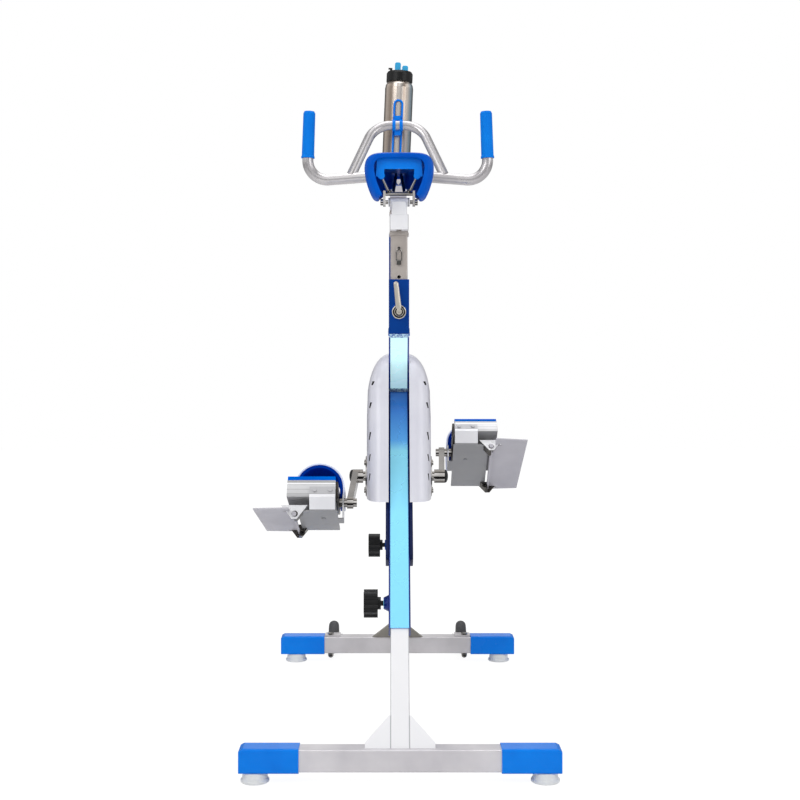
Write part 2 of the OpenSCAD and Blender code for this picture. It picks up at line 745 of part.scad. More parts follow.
// Axle bolts of the wheels, with the bolts and domed nuts that hold the brackets
module wheel_axles() color(steel) both_sides() {
    translate([wheel_x, wheel_y, wheel_z]) {
        end_x = cheek_in + bracket_t;
        x_rod(-end_x - 6, end_x + 6, axle_d / 2);
        x_rod(end_x + weld_gap, end_x + 6, 8);
        x_rod(-end_x - 6, -end_x - weld_gap, 8);
    }
    translate([wheel_bolt_x, front_bar_y, 0]) {
        translate([0, 0, bar_z - bar_w / 2 - nut_h])
            cylinder(h = bracket_top_z + bolt_head_h - 1 - bar_z + bar_w / 2 + nut_h, r = bolt_r);
        translate([0, 0, bracket_top_z + weld_gap]) cylinder(h = bolt_head_h, r = bolt_head_r);
        translate([0, 0, bar_z - bar_w / 2 - nut_h]) cylinder(h = nut_h - weld_gap, r = nut_r);
        translate([0, 0, bar_z - bar_w / 2 - nut_h]) sphere(r = nut_r - weld_gap);
    }
}

// Clamp knob on the left side of a sleeve
knob_face = beam_half + boss_len + 11;
module clamp_knob(s) translate([0, 0, s]) {
    color(steel) x_rod(-knob_face - 4, -leg_w / 2 - seat_gap, screw_d / 2);
    color(black) x_rod(-knob_face - over, -knob_face + 6, 12);
    color(black) translate([-knob_face, 0, 0]) rotate([0, -90, 0]) linear_extrude(knob_t)
        union() {
            circle(r = knob_d / 2 - 6);
            for (i = [0 : knob_lobes - 1]) rotate(i * 360 / knob_lobes)
                translate([knob_d / 2 - 9, 0]) circle(r = 9);
        }
}
module rear_leg_knob() on_rear_line() clamp_knob(knob_rear_s);
module front_leg_knob() on_front_line() clamp_knob(knob_front_s);

// Crank set
end_r = crank_axle_d / 2 - 2;
module crank_axle() color(steel) translate([0, crank_y, crank_z]) {
    x_rod(-hub_in + weld_gap, hub_in - weld_gap, crank_axle_d / 2);
    x_rod(-hub_in - hub_len + 1, hub_in + hub_len - 1, end_r);
}

// Right crank in its own frame: hub at the origin, pedal eye out along +Y
eye_hole_r = pedal_axle_d / 2 + weld_gap;
arm_step = eye_in + arm_t / 2 - (hub_in + hub_len - arm_t / 2);
module crank_form() difference() {
    union() {
        x_rod(hub_in, hub_in + hub_len, hub_d / 2);
        translate([0, crank_len, 0]) x_rod(eye_in, eye_in + arm_t, eye_d / 2);
        translate([hub_in + hub_len - arm_t / 2, 0, 0])
            rotate([0, 0, -atan(arm_step / crank_len)]) translate([-arm_t / 2, 0, 0])
                side_plate_form(arm_t) polygon([[0, -hub_d / 2 + 2], [crank_len, -eye_d / 2 + 2],
                    [crank_len, eye_d / 2 - 2], [0, hub_d / 2 - 2]]);
    }
    x_rod(hub_in - over, hub_in + hub_len + over + arm_t, end_r + weld_gap);
    x_rod(hub_in + hub_len, hub_in + hub_len + arm_t, hub_d / 2 + 0.2);
    translate([0, crank_len, 0]) {
        x_rod(eye_in - 5, eye_in + arm_t + 5, eye_hole_r);
        x_rod(eye_in - 5, eye_in, axle_head_r + 0.2);
    }
}
module on_crank(side) translate([0, crank_y, crank_z])
    rotate([side > 0 ? crank_turn : crank_turn - 180, 0, 0]) on_side(side) children();
module crank_left() color(steel) on_crank(-1) crank_form();
module crank_right() color(steel) on_crank(1) crank_form();

cap_dome = 6;
module crank_caps() color(black) translate([0, crank_y, crank_z]) both_sides()
    translate([hub_in + hub_len + weld_gap, 0, 0]) rotate([0, 90, 0]) rotate_extrude()
        polygon(concat([[0, 0], [hub_d / 2 - 0.5, 0]],
            [for (a = [0 : 15 : 90]) [(hub_d / 2 - 0.5) * cos(a), 1.5 + cap_dome * sin(a)]]));

// Pedals: each frame has its origin on the pedal axle, Y towards the toes
function axle_y(side) = crank_y + side * crank_len * cos(crank_turn);
function axle_z(side) = crank_z + side * crank_len * sin(crank_turn);
function pitch(side) = side < 0 ? left_pitch : right_pitch;
module on_pedal(side) translate([0, axle_y(side), axle_z(side)])
    rotate([-pitch(side), 0, 0]) on_side(side) children();

pedal_end = pedal_in + pedal_w;
pedal_mid = pedal_in + pedal_w / 2;
collar_r = 9;
axle_head_r = 8.5;
module pedal_axle() {
    x_rod(eye_in - 7, pedal_end - 6, pedal_axle_d / 2);
    x_rod(eye_in - 7, eye_in - weld_gap, axle_head_r);
    x_rod(eye_in + arm_t + weld_gap, pedal_in - 2, collar_r);
}
module pedal_axles() color(steel) {
    on_pedal(-1) pedal_axle();
    on_pedal(1) pedal_axle();
}

heel_lean = 18;
heel_drop = pedal_top + pedal_low;
heel_back = heel_drop * tan(heel_lean);
heel_y = -pedal_back - tread_t * tan(heel_lean);
heel_low_y = heel_y - heel_back;
body_wall = 4;
web_half = 14;
end_wall = 3;
module pedal_body() difference() {
    translate([pedal_in, 0, 0]) side_plate_form(pedal_w)
        polygon([[heel_y, pedal_top], [heel_low_y, -pedal_low], [pedal_front - 8, -pedal_low],
            [pedal_front, -pedal_low + 8], [pedal_front, pedal_top]]);
    translate([pedal_in + end_wall, 0, 0]) side_plate_form(pedal_w) {
        polygon([[heel_y + body_wall, pedal_top - body_wall],
            [heel_low_y + body_wall + 3, -pedal_low + body_wall],
            [-web_half, -pedal_low + body_wall], [-web_half, pedal_top - body_wall]]);
        polygon([[web_half, pedal_top - body_wall], [web_half, -pedal_low + body_wall],
            [pedal_front - 9, -pedal_low + body_wall],
            [pedal_front - body_wall, pedal_top - body_wall]]);
    }
    x_rod(pedal_in - over, pedal_end + over, pedal_axle_d / 2 + run_gap);
}
module pedal_left() color(alu) on_pedal(-1) pedal_body();
module pedal_right() color(alu) on_pedal(1) pedal_body();

module tread() translate([pedal_in + 0.5, 0, 0]) side_plate_form(pedal_w - 1)
    polygon([[heel_y + 0.5, pedal_top + weld_gap], [-pedal_back, pedal_top + tread_t],
        [pedal_front - 4, pedal_top + tread_t], [pedal_front, pedal_top + tread_t - 4],
        [pedal_front, pedal_top + weld_gap]]);
module tread_left() color(blue) on_pedal(-1) tread();
module tread_right() color(blue) on_pedal(1) tread();

// Foot strap: an arch over the forefoot, one foot on the tread and one leg beside the body
strap_in_r = strap_r - strap_t;
strap_mid_z = pedal_top + tread_t + seat_gap;
strap_leg = strap_mid_z - seat_gap;
strap_back_y = 1;
strap_pad_low = 2;
strap_pad_h = 14;
module strap_ring() difference() {
    union() {
        translate([0, strap_mid_z]) circle(r = strap_r, $fn = 96);
        translate([-strap_r, strap_mid_z - strap_leg]) square([strap_t, strap_leg]);
    }
    translate([0, strap_mid_z]) circle(r = strap_in_r, $fn = 96);
    translate([-strap_in_r, strap_mid_z - 2 * strap_r]) square([3 * strap_r, 2 * strap_r]);
    translate([-2 * strap_r, strap_mid_z - strap_leg - 2 * strap_r]) square([4 * strap_r, 2 * strap_r]);
}
module strap() difference() {
    translate([strap_x, strap_back_y + strap_l, 0]) rotate([90, 0, 0]) linear_extrude(strap_l) union() {
        strap_ring();
        translate([-strap_in_r - over, strap_pad_low])
            square([pedal_in - seat_gap - strap_x + strap_in_r + over, strap_pad_h]);
    }
    x_rod(strap_x - strap_r - over, pedal_in, collar_r + 2);
    x_rod(strap_x - strap_r - over, lug_x + paddle_t + seat_gap, lug_r + seat_gap);
}
module strap_left() color(cap_blue) on_pedal(-1) strap();
module strap_right() color(cap_blue) on_pedal(1) strap();

// Paddle: a bent sheet screwed to the pedal's heel, with a lug round the axle
bend_angle = 48.5;
bend_len = 29;
rivet_y = 55;
plate_back_y = heel_low_y + bend_len * cos(bend_angle);
plate_front_y = plate_back_y + paddle_l;
paddle_out = rod_x - 6;
paddle_in = pedal_in - 3.5;
lug_x = eye_in + arm_t + 6;
lug_r = 17;
module paddle() difference() {
    union() {
        translate([pedal_in, 0, 0]) side_plate_form(tab_w) polygon([
            [heel_y - tan(heel_lean) * (pedal_top - 8), 8],
            [heel_low_y, -pedal_low], [plate_back_y, -paddle_low], [plate_back_y + 6, -paddle_low],
            [plate_back_y + 6, -paddle_low - paddle_t], [plate_back_y - 1.3, -paddle_low - paddle_t],
            [heel_low_y - paddle_t, -pedal_low - 1.4],
            [heel_y - tan(heel_lean) * (pedal_top - 8) - paddle_t, 8]]);
        translate([paddle_in, plate_back_y, -paddle_low - paddle_t])
            cube([paddle_out - paddle_in, paddle_l, paddle_t]);
        translate([lug_x, -18, -paddle_low - paddle_t])
            cube([paddle_in - lug_x + over, 36, paddle_t]);
        translate([lug_x, 0, 0]) side_plate_form(paddle_t) union() {
            circle(r = lug_r);
            polygon([[-lug_r - 1, -paddle_low - paddle_t], [lug_r + 1, -paddle_low - paddle_t],
                [lug_r, 0], [-lug_r, 0]]);
        }
        for (x = [10, 40]) translate([pedal_in + x, heel_y - tan(heel_lean) * (pedal_top + 1), -1])
            rotate([-heel_lean, 0, 0]) y_rod(-paddle_t - 2.5, -paddle_t + 1, 4);
        translate([pedal_in + tab_w / 2, plate_back_y + rivet_y, -paddle_low - paddle_t - 1.5])
            cylinder(h = 3, r = 4);
    }
    x_rod(lug_x - over, lug_x + paddle_t + over, collar_r + hole_gap);
}
module paddle_left() color(warm_alu) on_pedal(-1) paddle();
module paddle_right() color(warm_alu) on_pedal(1) paddle();

// Wing hinge brackets: triangular end plates with short folded cheeks
rod_z = -paddle_low - paddle_t - 6;
hinge_half = 26;
hinge_top = 18;
hinge_low = 9.5;
hinge_deep = 18;
hinge_gap = 0.4;
module hinge_triangle(inset) polygon([[-hinge_half + inset, hinge_top], [hinge_half - inset, hinge_top],
    [5, -hinge_low + inset], [-5, -hinge_low + inset]]);
module wing_bracket(y, way) translate([rod_x, y, rod_z]) {
    rotate([90, 0, 0]) translate([0, 0, way > 0 ? -paddle_t : 0]) linear_extrude(paddle_t)
        difference() {
            hinge_triangle(0);
            circle(r = rod_d / 2 + 0.1);
        }
    rotate([90, 0, 0]) translate([0, 0, way > 0 ? 0 : -hinge_deep])
        linear_extrude(hinge_deep) difference() {
            intersection() {
                hinge_triangle(0);
                translate([-hinge_half, -hinge_low]) square([hinge_half, hinge_low + 5.6]);
            }
            hinge_triangle(3.2);
            circle(r = rod_d / 2 + 0.4);
        }
}
module wing_brackets() {
    wing_bracket(plate_back_y - hinge_gap, -1);
    wing_bracket(plate_front_y + hinge_gap, 1);
}
module wing_brackets_left() color(steel) on_pedal(-1) wing_brackets();
module wing_brackets_right() color(steel) on_pedal(1) wing_brackets();

// Wing: a flat plate welded to its hinge rod
wing_in = rod_x + 4;
wing_slot_x = rod_x + 22;
wing_tab_x = rod_x + 9;
rod_head_r = 4.5;
wing_slot = 1;
wing_back = plate_back_y - 24;
wing_front = plate_front_y + 8;
wing_taper = 11;
leaf_back = plate_back_y + hinge_deep + 4;
leaf_front = plate_front_y - hinge_deep - 4;
back_in = plate_back_y - hinge_gap + wing_slot;
back_out = plate_back_y - hinge_gap - paddle_t - wing_slot;
front_in = plate_front_y + hinge_gap - wing_slot;
front_out = plate_front_y + hinge_gap + paddle_t + wing_slot;
module wing() {
    translate([0, 0, -paddle_low - paddle_t]) linear_extrude(paddle_t - 0.5)
        polygon([[wing_in, back_in], [wing_slot_x, back_in], [wing_slot_x, back_out],
            [wing_tab_x, back_out], [wing_tab_x, wing_back], [wing_out, wing_back + 6],
            [wing_out - wing_taper, wing_front], [wing_tab_x, wing_front + 3],
            [wing_tab_x, front_out], [wing_slot_x, front_out], [wing_slot_x, front_in],
            [wing_in, front_in]]);
    translate([rod_x, leaf_back, rod_z - 1]) cube([2.5, leaf_front - leaf_back, 4]);
    translate([rod_x + 1, leaf_back, rod_z + 1.5])
        cube([wing_in - rod_x + 1.5, leaf_front - leaf_back, 1.5]);
    translate([wing_in, leaf_back, rod_z + 1.5]) cube([2, leaf_front - leaf_back, 6]);
    translate([rod_x, 0, rod_z])
        y_rod(plate_back_y - hinge_gap - paddle_t - 3, plate_front_y + hinge_gap + paddle_t + 3, rod_d / 2);
    translate([rod_x, 0, rod_z])
        y_rod(plate_back_y - hinge_gap - paddle_t - 4, plate_back_y - hinge_gap - paddle_t - seat_gap,
            rod_head_r);
    translate([rod_x, plate_front_y + hinge_gap + paddle_t + 5, rod_z]) sphere(r = 4);
}
module wing_left() color(warm_alu) on_pedal(-1) wing();
module wing_right() color(warm_alu) on_pedal(1) wing();

// Posts: a square tube with a collar and a T rail that runs inside a slider
collar_t = 6;
neck_h = 3;
neck_w = 9;
pad_w = 36;
rail_gap = 0.4;
module post(y, tube_top, up, low, rail_l) {
    top = tube_top + up;
    translate([0, y, low]) square_tube(leg_w, leg_wall, top - low);
    translate([-20, y - 20, top - weld_gap]) cube([40, 40, collar_t + weld_gap]);
    translate([-pad_w / 2, y - rail_l / 2, top + collar_t - over])
        cube([pad_w, rail_l, neck_h - rail_gap + over]);
    translate([-neck_w / 2, y - rail_l / 2, top + collar_t - over])
        cube([neck_w, rail_l, neck_h + slide_wall + over + 1]);
    translate([-slide_w / 2 + slide_wall + rail_gap, y - rail_l / 2,
            top + collar_t + neck_h + slide_wall + rail_gap])
        cube([slide_w - 2 * slide_wall - 2 * rail_gap, rail_l,
            slide_h - 2 * slide_wall - 2 * rail_gap]);
}

// Slider: a channel with a slot in its floor, from one Y to the next
module slider(y0, y1, z) translate([0, y0, z]) rotate([-90, 0, 0]) mirror([0, 1, 0])
    linear_extrude(y1 - y0) difference() {
        translate([-slide_w / 2, 0]) square([slide_w, slide_h]);
        translate([-slide_w / 2 + slide_wall, slide_wall])
            square([slide_w - 2 * slide_wall, slide_h - 2 * slide_wall]);
        translate([-neck_w / 2 - rail_gap, -over]) square([neck_w + 2 * rail_gap, slide_wall + 2 * over]);
    }

saddle_post_low = mitre_z + 4;
saddle_post_top = saddle_tube_top + saddle_post_up;
saddle_slide_z = saddle_post_top + collar_t + neck_h;
clip_z = saddle_post_top - 29;
saddle_rail_l = 40;
module saddle_post() color(alu) difference() {
    post(saddle_y, saddle_tube_top, saddle_post_up, saddle_post_low, saddle_rail_l);
    translate([0, saddle_y, saddle_tube_top + 5]) y_rod(-leg_w, -leg_w / 4, 3.6);
    for (x = [-6, -2, 2]) translate([x - 2, saddle_y, saddle_post_top - 20])
        y_rod(-leg_w / 2 - over, -leg_w / 2 + 0.6, 0.9);
    translate([0, saddle_y, clip_z + 3]) y_rod(-leg_w, -leg_w / 4, 3 + run_gap);
}

// Clamp lever with its screw along Y, behind the saddle tube or ahead of the handlebar tube
lever_arm = 58;
module clamp_lever() {
    y_rod(-beam_half - lever_pad_t - 4, -beam_half - lever_pad_t - seat_gap, 14);
    y_rod(-beam_half - lever_pad_t - 12, -beam_half - lever_pad_t - 3, 9.5);
    y_rod(-beam_half - lever_pad_t - 4, -leg_w / 2 - seat_gap, screw_d / 2);
    translate([0, -beam_half - lever_pad_t - 7, 0]) rotate([0, -6, 0]) rotate([90, 0, 0])
        linear_extrude(5) union() {
            translate([-6, 0]) polygon([[0, 0], [12, 0], [11, lever_arm], [1, lever_arm]]);
            translate([0, lever_arm]) circle(r = 5);
        }
}
module saddle_lever() color(steel) translate([0, saddle_y, saddle_lever_z]) clamp_lever();

// Spring clip that hangs from its pin in the post
clip_w = 11;
clip_h = 22;
clip_wire = 1.2;
clip_y = saddle_y - leg_w / 2 - 3.2;
module post_clip() color(steel) translate([0, clip_y, clip_z]) {
    translate([0, 0, 3]) y_rod(-1.6, 12, 3);
    for (x = [-1, 1]) rod([x * 1.6, 0, 3], [x * clip_w / 2, 0, -5], clip_wire);
    for (x = [-1, 1]) rod([x * clip_w / 2, 0, -5], [x * clip_w / 2, 0, -clip_h], clip_wire);
    for (x = [-1, 1], z = [-5, -clip_h]) translate([x * clip_w / 2, 0, z]) sphere(r = clip_wire);
    rod([-clip_w / 2, 0, -clip_h], [clip_w / 2, 0, -clip_h], clip_wire);
    translate([-4.5, -1.2, -clip_h - 9]) cube([9, 2.4, 9]);
}

saddle_slide_y0 = saddle_y - saddle_slide_back;
slide_end_t = 2;
module saddle_slider() color(alu) {
    slider(saddle_slide_y0, saddle_slide_y0 + saddle_slide_l, saddle_slide_z);
    translate([-slide_w / 2, saddle_slide_y0, saddle_slide_z]) cube([slide_w, slide_end_t, slide_h]);
}

head_z = saddle_slide_z + slide_h;
head_y = saddle_slide_y0 + head_w / 2;
clamp_z = head_z + head_h;
clamp_bolt_r = 4;
clamp_barrel_r = 9;
module saddle_head() color(alu) difference() {
    union() {
        translate([0, head_y, head_z]) linear_extrude(head_h) rounded_square(head_w, head_w, 3);
        translate([0, head_y, clamp_z]) x_rod(-22, 22, clamp_barrel_r);
    }
    translate([0, head_y, clamp_z]) x_rod(-30, 30, clamp_bolt_r + run_gap);
}

// Saddle clamp: ears that hold the rails, a cross bar and the bolt with its nuts
rail_x = 23.5;
rail_z = clamp_z + 17;
ear_in = 27.5;
ear_t = 5;
module saddle_clamp() color(steel) translate([0, head_y, 0]) {
    translate([0, 0, clamp_z]) {
        x_rod(-36, 36, clamp_bolt_r);
        both_sides() x_rod(ear_in + ear_t + weld_gap, 38, 6.5);
    }
    both_sides() difference() {
        translate([ear_in, 0, 0]) side_plate_form(ear_t) polygon([[-9, clamp_z - 8], [9, clamp_z - 8],
            [7, rail_z + 6], [-7, rail_z + 6]]);
        translate([0, 0, clamp_z]) x_rod(ear_in - over, ear_in + ear_t + over, clamp_bolt_r + weld_gap);
    }
    translate([0, 0, rail_z]) x_rod(-ear_in + weld_gap, ear_in - weld_gap, 4);
}

// Tables of the saddle's width, crown and side depth along its length
saddle_rows = 16;
saddle_cols = 24;
saddle_width = [[0, 0.84], [0.03, 0.94], [0.1, 1.0], [0.28, 0.97], [0.42, 0.76], [0.55, 0.52],
    [0.70, 0.38], [0.88, 0.32], [0.97, 0.26], [1, 0.2]];
saddle_crown = [[0, -4], [0.05, 0], [0.2, 0], [0.4, -7], [0.65, -8], [0.88, -3], [0.97, -7], [1, -14]];
saddle_side = [[0, 84], [0.05, 94], [0.2, 96], [0.35, 80], [0.5, 56], [0.75, 40], [0.95, 32], [1, 22]];

// Saddle rails as two bent rods
saddle_overhang = 62;
saddle_back_y = head_y - saddle_overhang;
saddle_z = rail_z + saddle_up;
rail_end_z = saddle_z - 47;
rail_half = rail_d / 2;
rail_waist_x = 12;
rail_nose_x = 5.5;
rail_back_y = saddle_back_y + 24;
rail_front_y = saddle_back_y + saddle_l - 36;
rail_run_z = rail_z + 4 + rail_half + weld_gap;
rail_seat = 0.6;
rail_front_t = (rail_front_y - saddle_back_y) / saddle_l;
rail_front_z = saddle_z + lookup(rail_front_t, saddle_crown) - saddle_wall - rail_half - rail_seat;
rail_points = [[36, rail_back_y, rail_end_z], [rail_x, head_y - 12, rail_run_z],
    [rail_waist_x, head_y + 60, rail_run_z], [rail_nose_x, rail_front_y, rail_front_z]];
module saddle_rails() color(steel) both_sides() rod_path(rail_points, rail_half);

// Saddle shell, a crowned form whose sides curl under, open below and behind
side_round = 0.8;
function saddle_fall(a) = pow((1 - cos(a)) / (1 - cos(saddle_curl)), 2);
function saddle_point(t, a, wall) = let (
    half = saddle_half * lookup(t, saddle_width) - wall,
    side = lookup(t, saddle_side) - wall,
    top = saddle_z + lookup(t, saddle_crown) - wall)
    [half * sign(a) * pow(abs(sin(a)), side_round), saddle_back_y + saddle_l * t,
        top - side * saddle_fall(a)];
function saddle_grid(wall) = [for (i = [0 : saddle_rows]) [for (j = [0 : saddle_cols])
    saddle_point(i / saddle_rows, saddle_curl - 2 * saddle_curl * j / saddle_cols, wall)]];
module saddle() color(blue) thick_sheet(saddle_grid(0), saddle_grid(saddle_wall));

// Rear bridge of the saddle, which carries the rails and lies close under the shell
pan_half = 47;
pan_leg_w = 17;
pan_low = 49;
pan_deep = 34;
pan_t = 4;
pan_y = saddle_back_y + 17;
pan_seat = 0.5;
pan_turn = 46;
rail_boss_r = 7;
// Point on the flat facet that the shell has between two of its rows
function saddle_facet(t, a, wall) =
    let (i = floor(t * saddle_rows), k = t * saddle_rows - i)
        (1 - k) * saddle_point(i / saddle_rows, a, wall) + k * saddle_point((i + 1) / saddle_rows, a, wall);
pan_back_share = (pan_y - pan_t - saddle_back_y) / saddle_l;
module saddle_pan() color([0.12, 0.45, 0.92]) difference() {
    union() {
        translate([0, pan_y, 0]) rotate([90, 0, 0]) linear_extrude(pan_t) polygon(concat(
            [for (a = [-pan_turn : pan_turn / 4 : pan_turn])
                let (p = saddle_facet(pan_back_share, a, saddle_wall))
                    [p[0], p[2] - pan_seat]],
            [[pan_half, saddle_z - pan_low], [pan_half - pan_leg_w, saddle_z - pan_low],
                [pan_half - pan_leg_w, saddle_z - pan_deep], [pan_leg_w - pan_half, saddle_z - pan_deep],
                [pan_leg_w - pan_half, saddle_z - pan_low], [-pan_half, saddle_z - pan_low]]));
        both_sides() translate([rail_points[0][0], pan_y - pan_t, rail_end_z]) y_rod(0, 12, rail_boss_r);
    }
    both_sides() rod(rail_points[0] + [0, -0.5, 0], rail_points[1], rail_half + hole_gap);
}

// Handlebar post, slider, bar and grips
bar_post_top = bar_tube_top + bar_post_up;
bar_post_low = bar_tube_top - bar_tube_len + 38;
bar_slide_z = bar_post_top + collar_t + neck_h;
bar_rail_l = 40;
grip_bar_z = bar_slide_z + slide_h + stem_h;
grip_low = grip_bar_z + grip_up;
grip_bar_y = bar_tube_y + bar_slide_fwd - head_w / 2;
bar_r = grip_bar_d / 2;
module handlebar_post() color(alu)
    post(bar_tube_y, bar_tube_top, bar_post_up, bar_post_low, bar_rail_l);
module handlebar_lever() color(steel) translate([0, bar_tube_y, bar_lever_z])
    mirror([0, 1, 0]) clamp_lever();
stem_cut = 0.05;
module handlebar_slider() color(alu) {
    slider(bar_tube_y - 42, bar_tube_y + bar_slide_fwd, bar_slide_z);
    difference() {
        translate([0, grip_bar_y, bar_slide_z + slide_h]) linear_extrude(grip_bar_z - bar_slide_z - slide_h)
            rounded_square(head_w, head_w, 3);
        translate([0, grip_bar_y, grip_bar_z]) x_rod(-head_w, head_w, bar_r + stem_cut);
    }
}

grip_lean = 2;
grip_top_z = grip_low + grip_len;
end_top_x = grip_bar_half - (grip_top_z - grip_bar_z) * sin(grip_lean);
arch_fwd = arch_h * tan(arch_lean);
flat_half = 36;
module bar_line(r) translate([0, grip_bar_y, 0]) rotate([90, 0, 0]) bent_bar(
    [[-end_top_x, grip_top_z - 6], [-grip_bar_half, grip_bar_z - grip_bar_drop], [-flat_half, grip_bar_z],
        [flat_half, grip_bar_z], [grip_bar_half, grip_bar_z - grip_bar_drop],
        [end_top_x, grip_top_z - 6]],
    [0, grip_bend_r, 120, 120, grip_bend_r, 0], r);
arch_plane_h = arch_h / cos(arch_lean);
module arch_line(r) translate([0, grip_bar_y, grip_bar_z]) rotate([90 - arch_lean, 0, 0]) bent_bar(
    [[-arch_half, 0], [-arch_top_half, arch_plane_h], [arch_top_half, arch_plane_h], [arch_half, 0]],
    [0, arch_bend_r, arch_bend_r, 0], r);
module handlebar() color(alu) difference() {
    union() {
        bar_line(bar_r);
        arch_line(arch_d / 2);
    }
    bar_line(bar_r - grip_bar_wall);
}

module grip() translate([grip_bar_half, grip_bar_y, grip_bar_z - grip_bar_drop])
    rotate([0, -atan((grip_bar_half - end_top_x) / (grip_top_z - 6 - grip_bar_z + grip_bar_drop)), 0])
        translate([0, 0, grip_low - grip_bar_z + grip_bar_drop]) rotate_extrude() polygon([
            [bar_r + weld_gap, 0], [grip_d / 2 + 1.2, 0], [grip_d / 2 + 1.2, 4], [grip_d / 2, 6],
            [grip_d / 2 - 0.6, grip_len - 5], [grip_d / 2 - 3, grip_len], [0, grip_len],
            [0, grip_len - 4], [bar_r + weld_gap, grip_len - 4]]);
module grips() color(blue) both_sides() grip();

// Bottle cage, clamped to the top of the arch
bottle_r = bottle_d / 2;
cage_r = cage_d / 2;
hoop_r = bottle_r + seat_gap + cage_r;
arch_top_y = grip_bar_y + arch_fwd;
arch_top_z = grip_bar_z + arch_h;
bottle_z = arch_top_z - bottle_drop;
back_half = 10;
bottle_y = arch_top_y + arch_d / 2 + 3 + hoop_r + cage_r;
cage_back_y = bottle_y - hoop_r;
loop_top = arch_top_z + 66;
loop_low = bottle_z - seat_gap - cage_r;
hoop_z = [bottle_z + 38, arch_top_z];
band_z = [arch_top_z - 5.5, arch_top_z + 5.5];
module hoop(z) translate([0, bottle_y, z]) rotate([0, 0, 130])
    rotate_extrude(angle = 280, $fn = 96) translate([hoop_r, 0]) circle(r = cage_r, $fn = 24);
// Everything on the bottle's own tilted line, which turns about the top of the arch
module on_bottle_line() translate([0, 0, arch_top_z]) rotate([0, bottle_tilt, 0])
    translate([0, 0, -arch_top_z]) children();

cage_toe = 22;
clamp_half = 8;
clamp_up = 24;
clamp_wall = 2.2;
module cage_wires() union() {
    for (x = [-1, 1]) rod([x * back_half, cage_back_y, loop_low],
        [x * back_half, cage_back_y, loop_top - back_half], cage_r);
    translate([0, cage_back_y, loop_top - back_half]) rotate([90, 0, 0])
        rotate_extrude(angle = 180, $fn = 64) translate([back_half, 0]) circle(r = cage_r, $fn = 24);
    for (z = hoop_z) hoop(z);
    for (x = [-1, 1]) {
        rod([x * back_half, cage_back_y, loop_low], [x * back_half, bottle_y + cage_toe, loop_low], cage_r);
        translate([x * back_half, cage_back_y, loop_low]) sphere(r = cage_r);
    }
    rod([-back_half, bottle_y + cage_toe, loop_low], [back_half, bottle_y + cage_toe, loop_low], cage_r);
}
module bottle_cage() color(blue) union() {
    on_bottle_line() cage_wires();
    difference() {
        translate([-clamp_half, arch_top_y, arch_top_z - clamp_up])
            cube([2 * clamp_half, cage_back_y - arch_top_y, 2 * clamp_up]);
        translate([0, arch_top_y, arch_top_z]) x_rod(-10, 10, arch_d / 2 + weld_gap);
    }
    for (z = [-9, 9]) translate([0, arch_top_y, arch_top_z]) rotate([0, 90, 0])
        translate([0, 0, z - 4]) difference() {
            cylinder(h = 8, r = arch_d / 2 + clamp_wall);
            translate([0, 0, -over]) cylinder(h = 10, r = arch_d / 2 + weld_gap);
        }
}

neck_r = bottle_r - 6;
bottle_top = bottle_z + bottle_h;
module bottle() color(steel) on_bottle_line() translate([0, bottle_y, bottle_z])
    rotate_extrude($fn = 96) polygon([
    [0, 3], [bottle_r - 8, 3], [bottle_r - 6, 0], [bottle_r - 2, 0], [bottle_r, 3],
    [bottle_r, bottle_h - 16], [bottle_r - 1.5, bottle_h - 8], [neck_r, bottle_h],
    [neck_r, bottle_h + 8], [neck_r - 2, bottle_h + 8], [neck_r - 2, bottle_h],
    [bottle_r - 3, bottle_h - 9], [bottle_r - 2, bottle_h - 16], [bottle_r - 2, 6], [0, 6]]);

cap_r = bottle_r - 2.5;
cap_pocket = 4;
module bottle_cap() color(black) on_bottle_line() translate([0, bottle_y, bottle_top]) union() {
    difference() {
        rotate_extrude($fn = 96) polygon([
            [neck_r + 0.1, 0.3], [cap_r, 0.3], [cap_r, bottle_cap_h - 5],
            [cap_r - 3, bottle_cap_h], [0, bottle_cap_h], [0, bottle_cap_h - 8],
            [neck_r + 0.1, bottle_cap_h - 8]]);
        translate([-15, -14, bottle_cap_h - cap_pocket]) cube([38, 24, 10]);
    }
    translate([-25, -6, bottle_cap_h - 6]) cube([6, 8, 15]);
    translate([-29, -6, bottle_cap_h + 6]) cube([10, 8, 3]);
}

spout_z = bottle_top + bottle_cap_h;
spout_seat = cap_pocket - 0.5;
spout_h = 23;
tongue_h = 15.5;
module spout_block(x0, x1, h) translate([x0, 6, 0]) rotate([90, 0, 0]) linear_extrude(16)
    translate([(x1 - x0) / 2, h / 2]) rounded_square(x1 - x0, h, 5);
module bottle_spout() color([0.25, 0.70, 0.90]) on_bottle_line() translate([0, bottle_y, spout_z]) union() {
    translate([-12, -10, -spout_seat]) cube([32, 16, spout_seat + 5]);
    spout_block(-13, 2, spout_h);
    spout_block(5.5, 20.5, tongue_h);
}

main_beam();
front_beam();
saddle_strut();
saddle_tube();
handlebar_tube();
crank_housing();
crank_bushes();
bearing_flanges();
cover_left();
cover_right();
cover_screws();
rear_bar();
front_bar();
rear_end_caps();
front_end_caps();
rear_feet();
front_feet();
rear_leg();
front_leg();
wheel_left();
wheel_right();
wheel_brackets();
wheel_axles();
rear_leg_knob();
front_leg_knob();
crank_axle();
crank_left();
crank_right();
crank_caps();
pedal_axles();
pedal_left();
pedal_right();
tread_left();
tread_right();
strap_left();
strap_right();
paddle_left();
paddle_right();
wing_brackets_left();
wing_brackets_right();
wing_left();
wing_right();
saddle_post();
saddle_lever();
post_clip();
saddle_slider();
saddle_head();
saddle_clamp();
saddle_rails();
saddle_pan();
saddle();
handlebar_post();
handlebar_lever();
handlebar_slider();
handlebar();
grips();
bottle_cage();
bottle();
bottle_cap();
bottle_spout();
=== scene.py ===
import json
import math

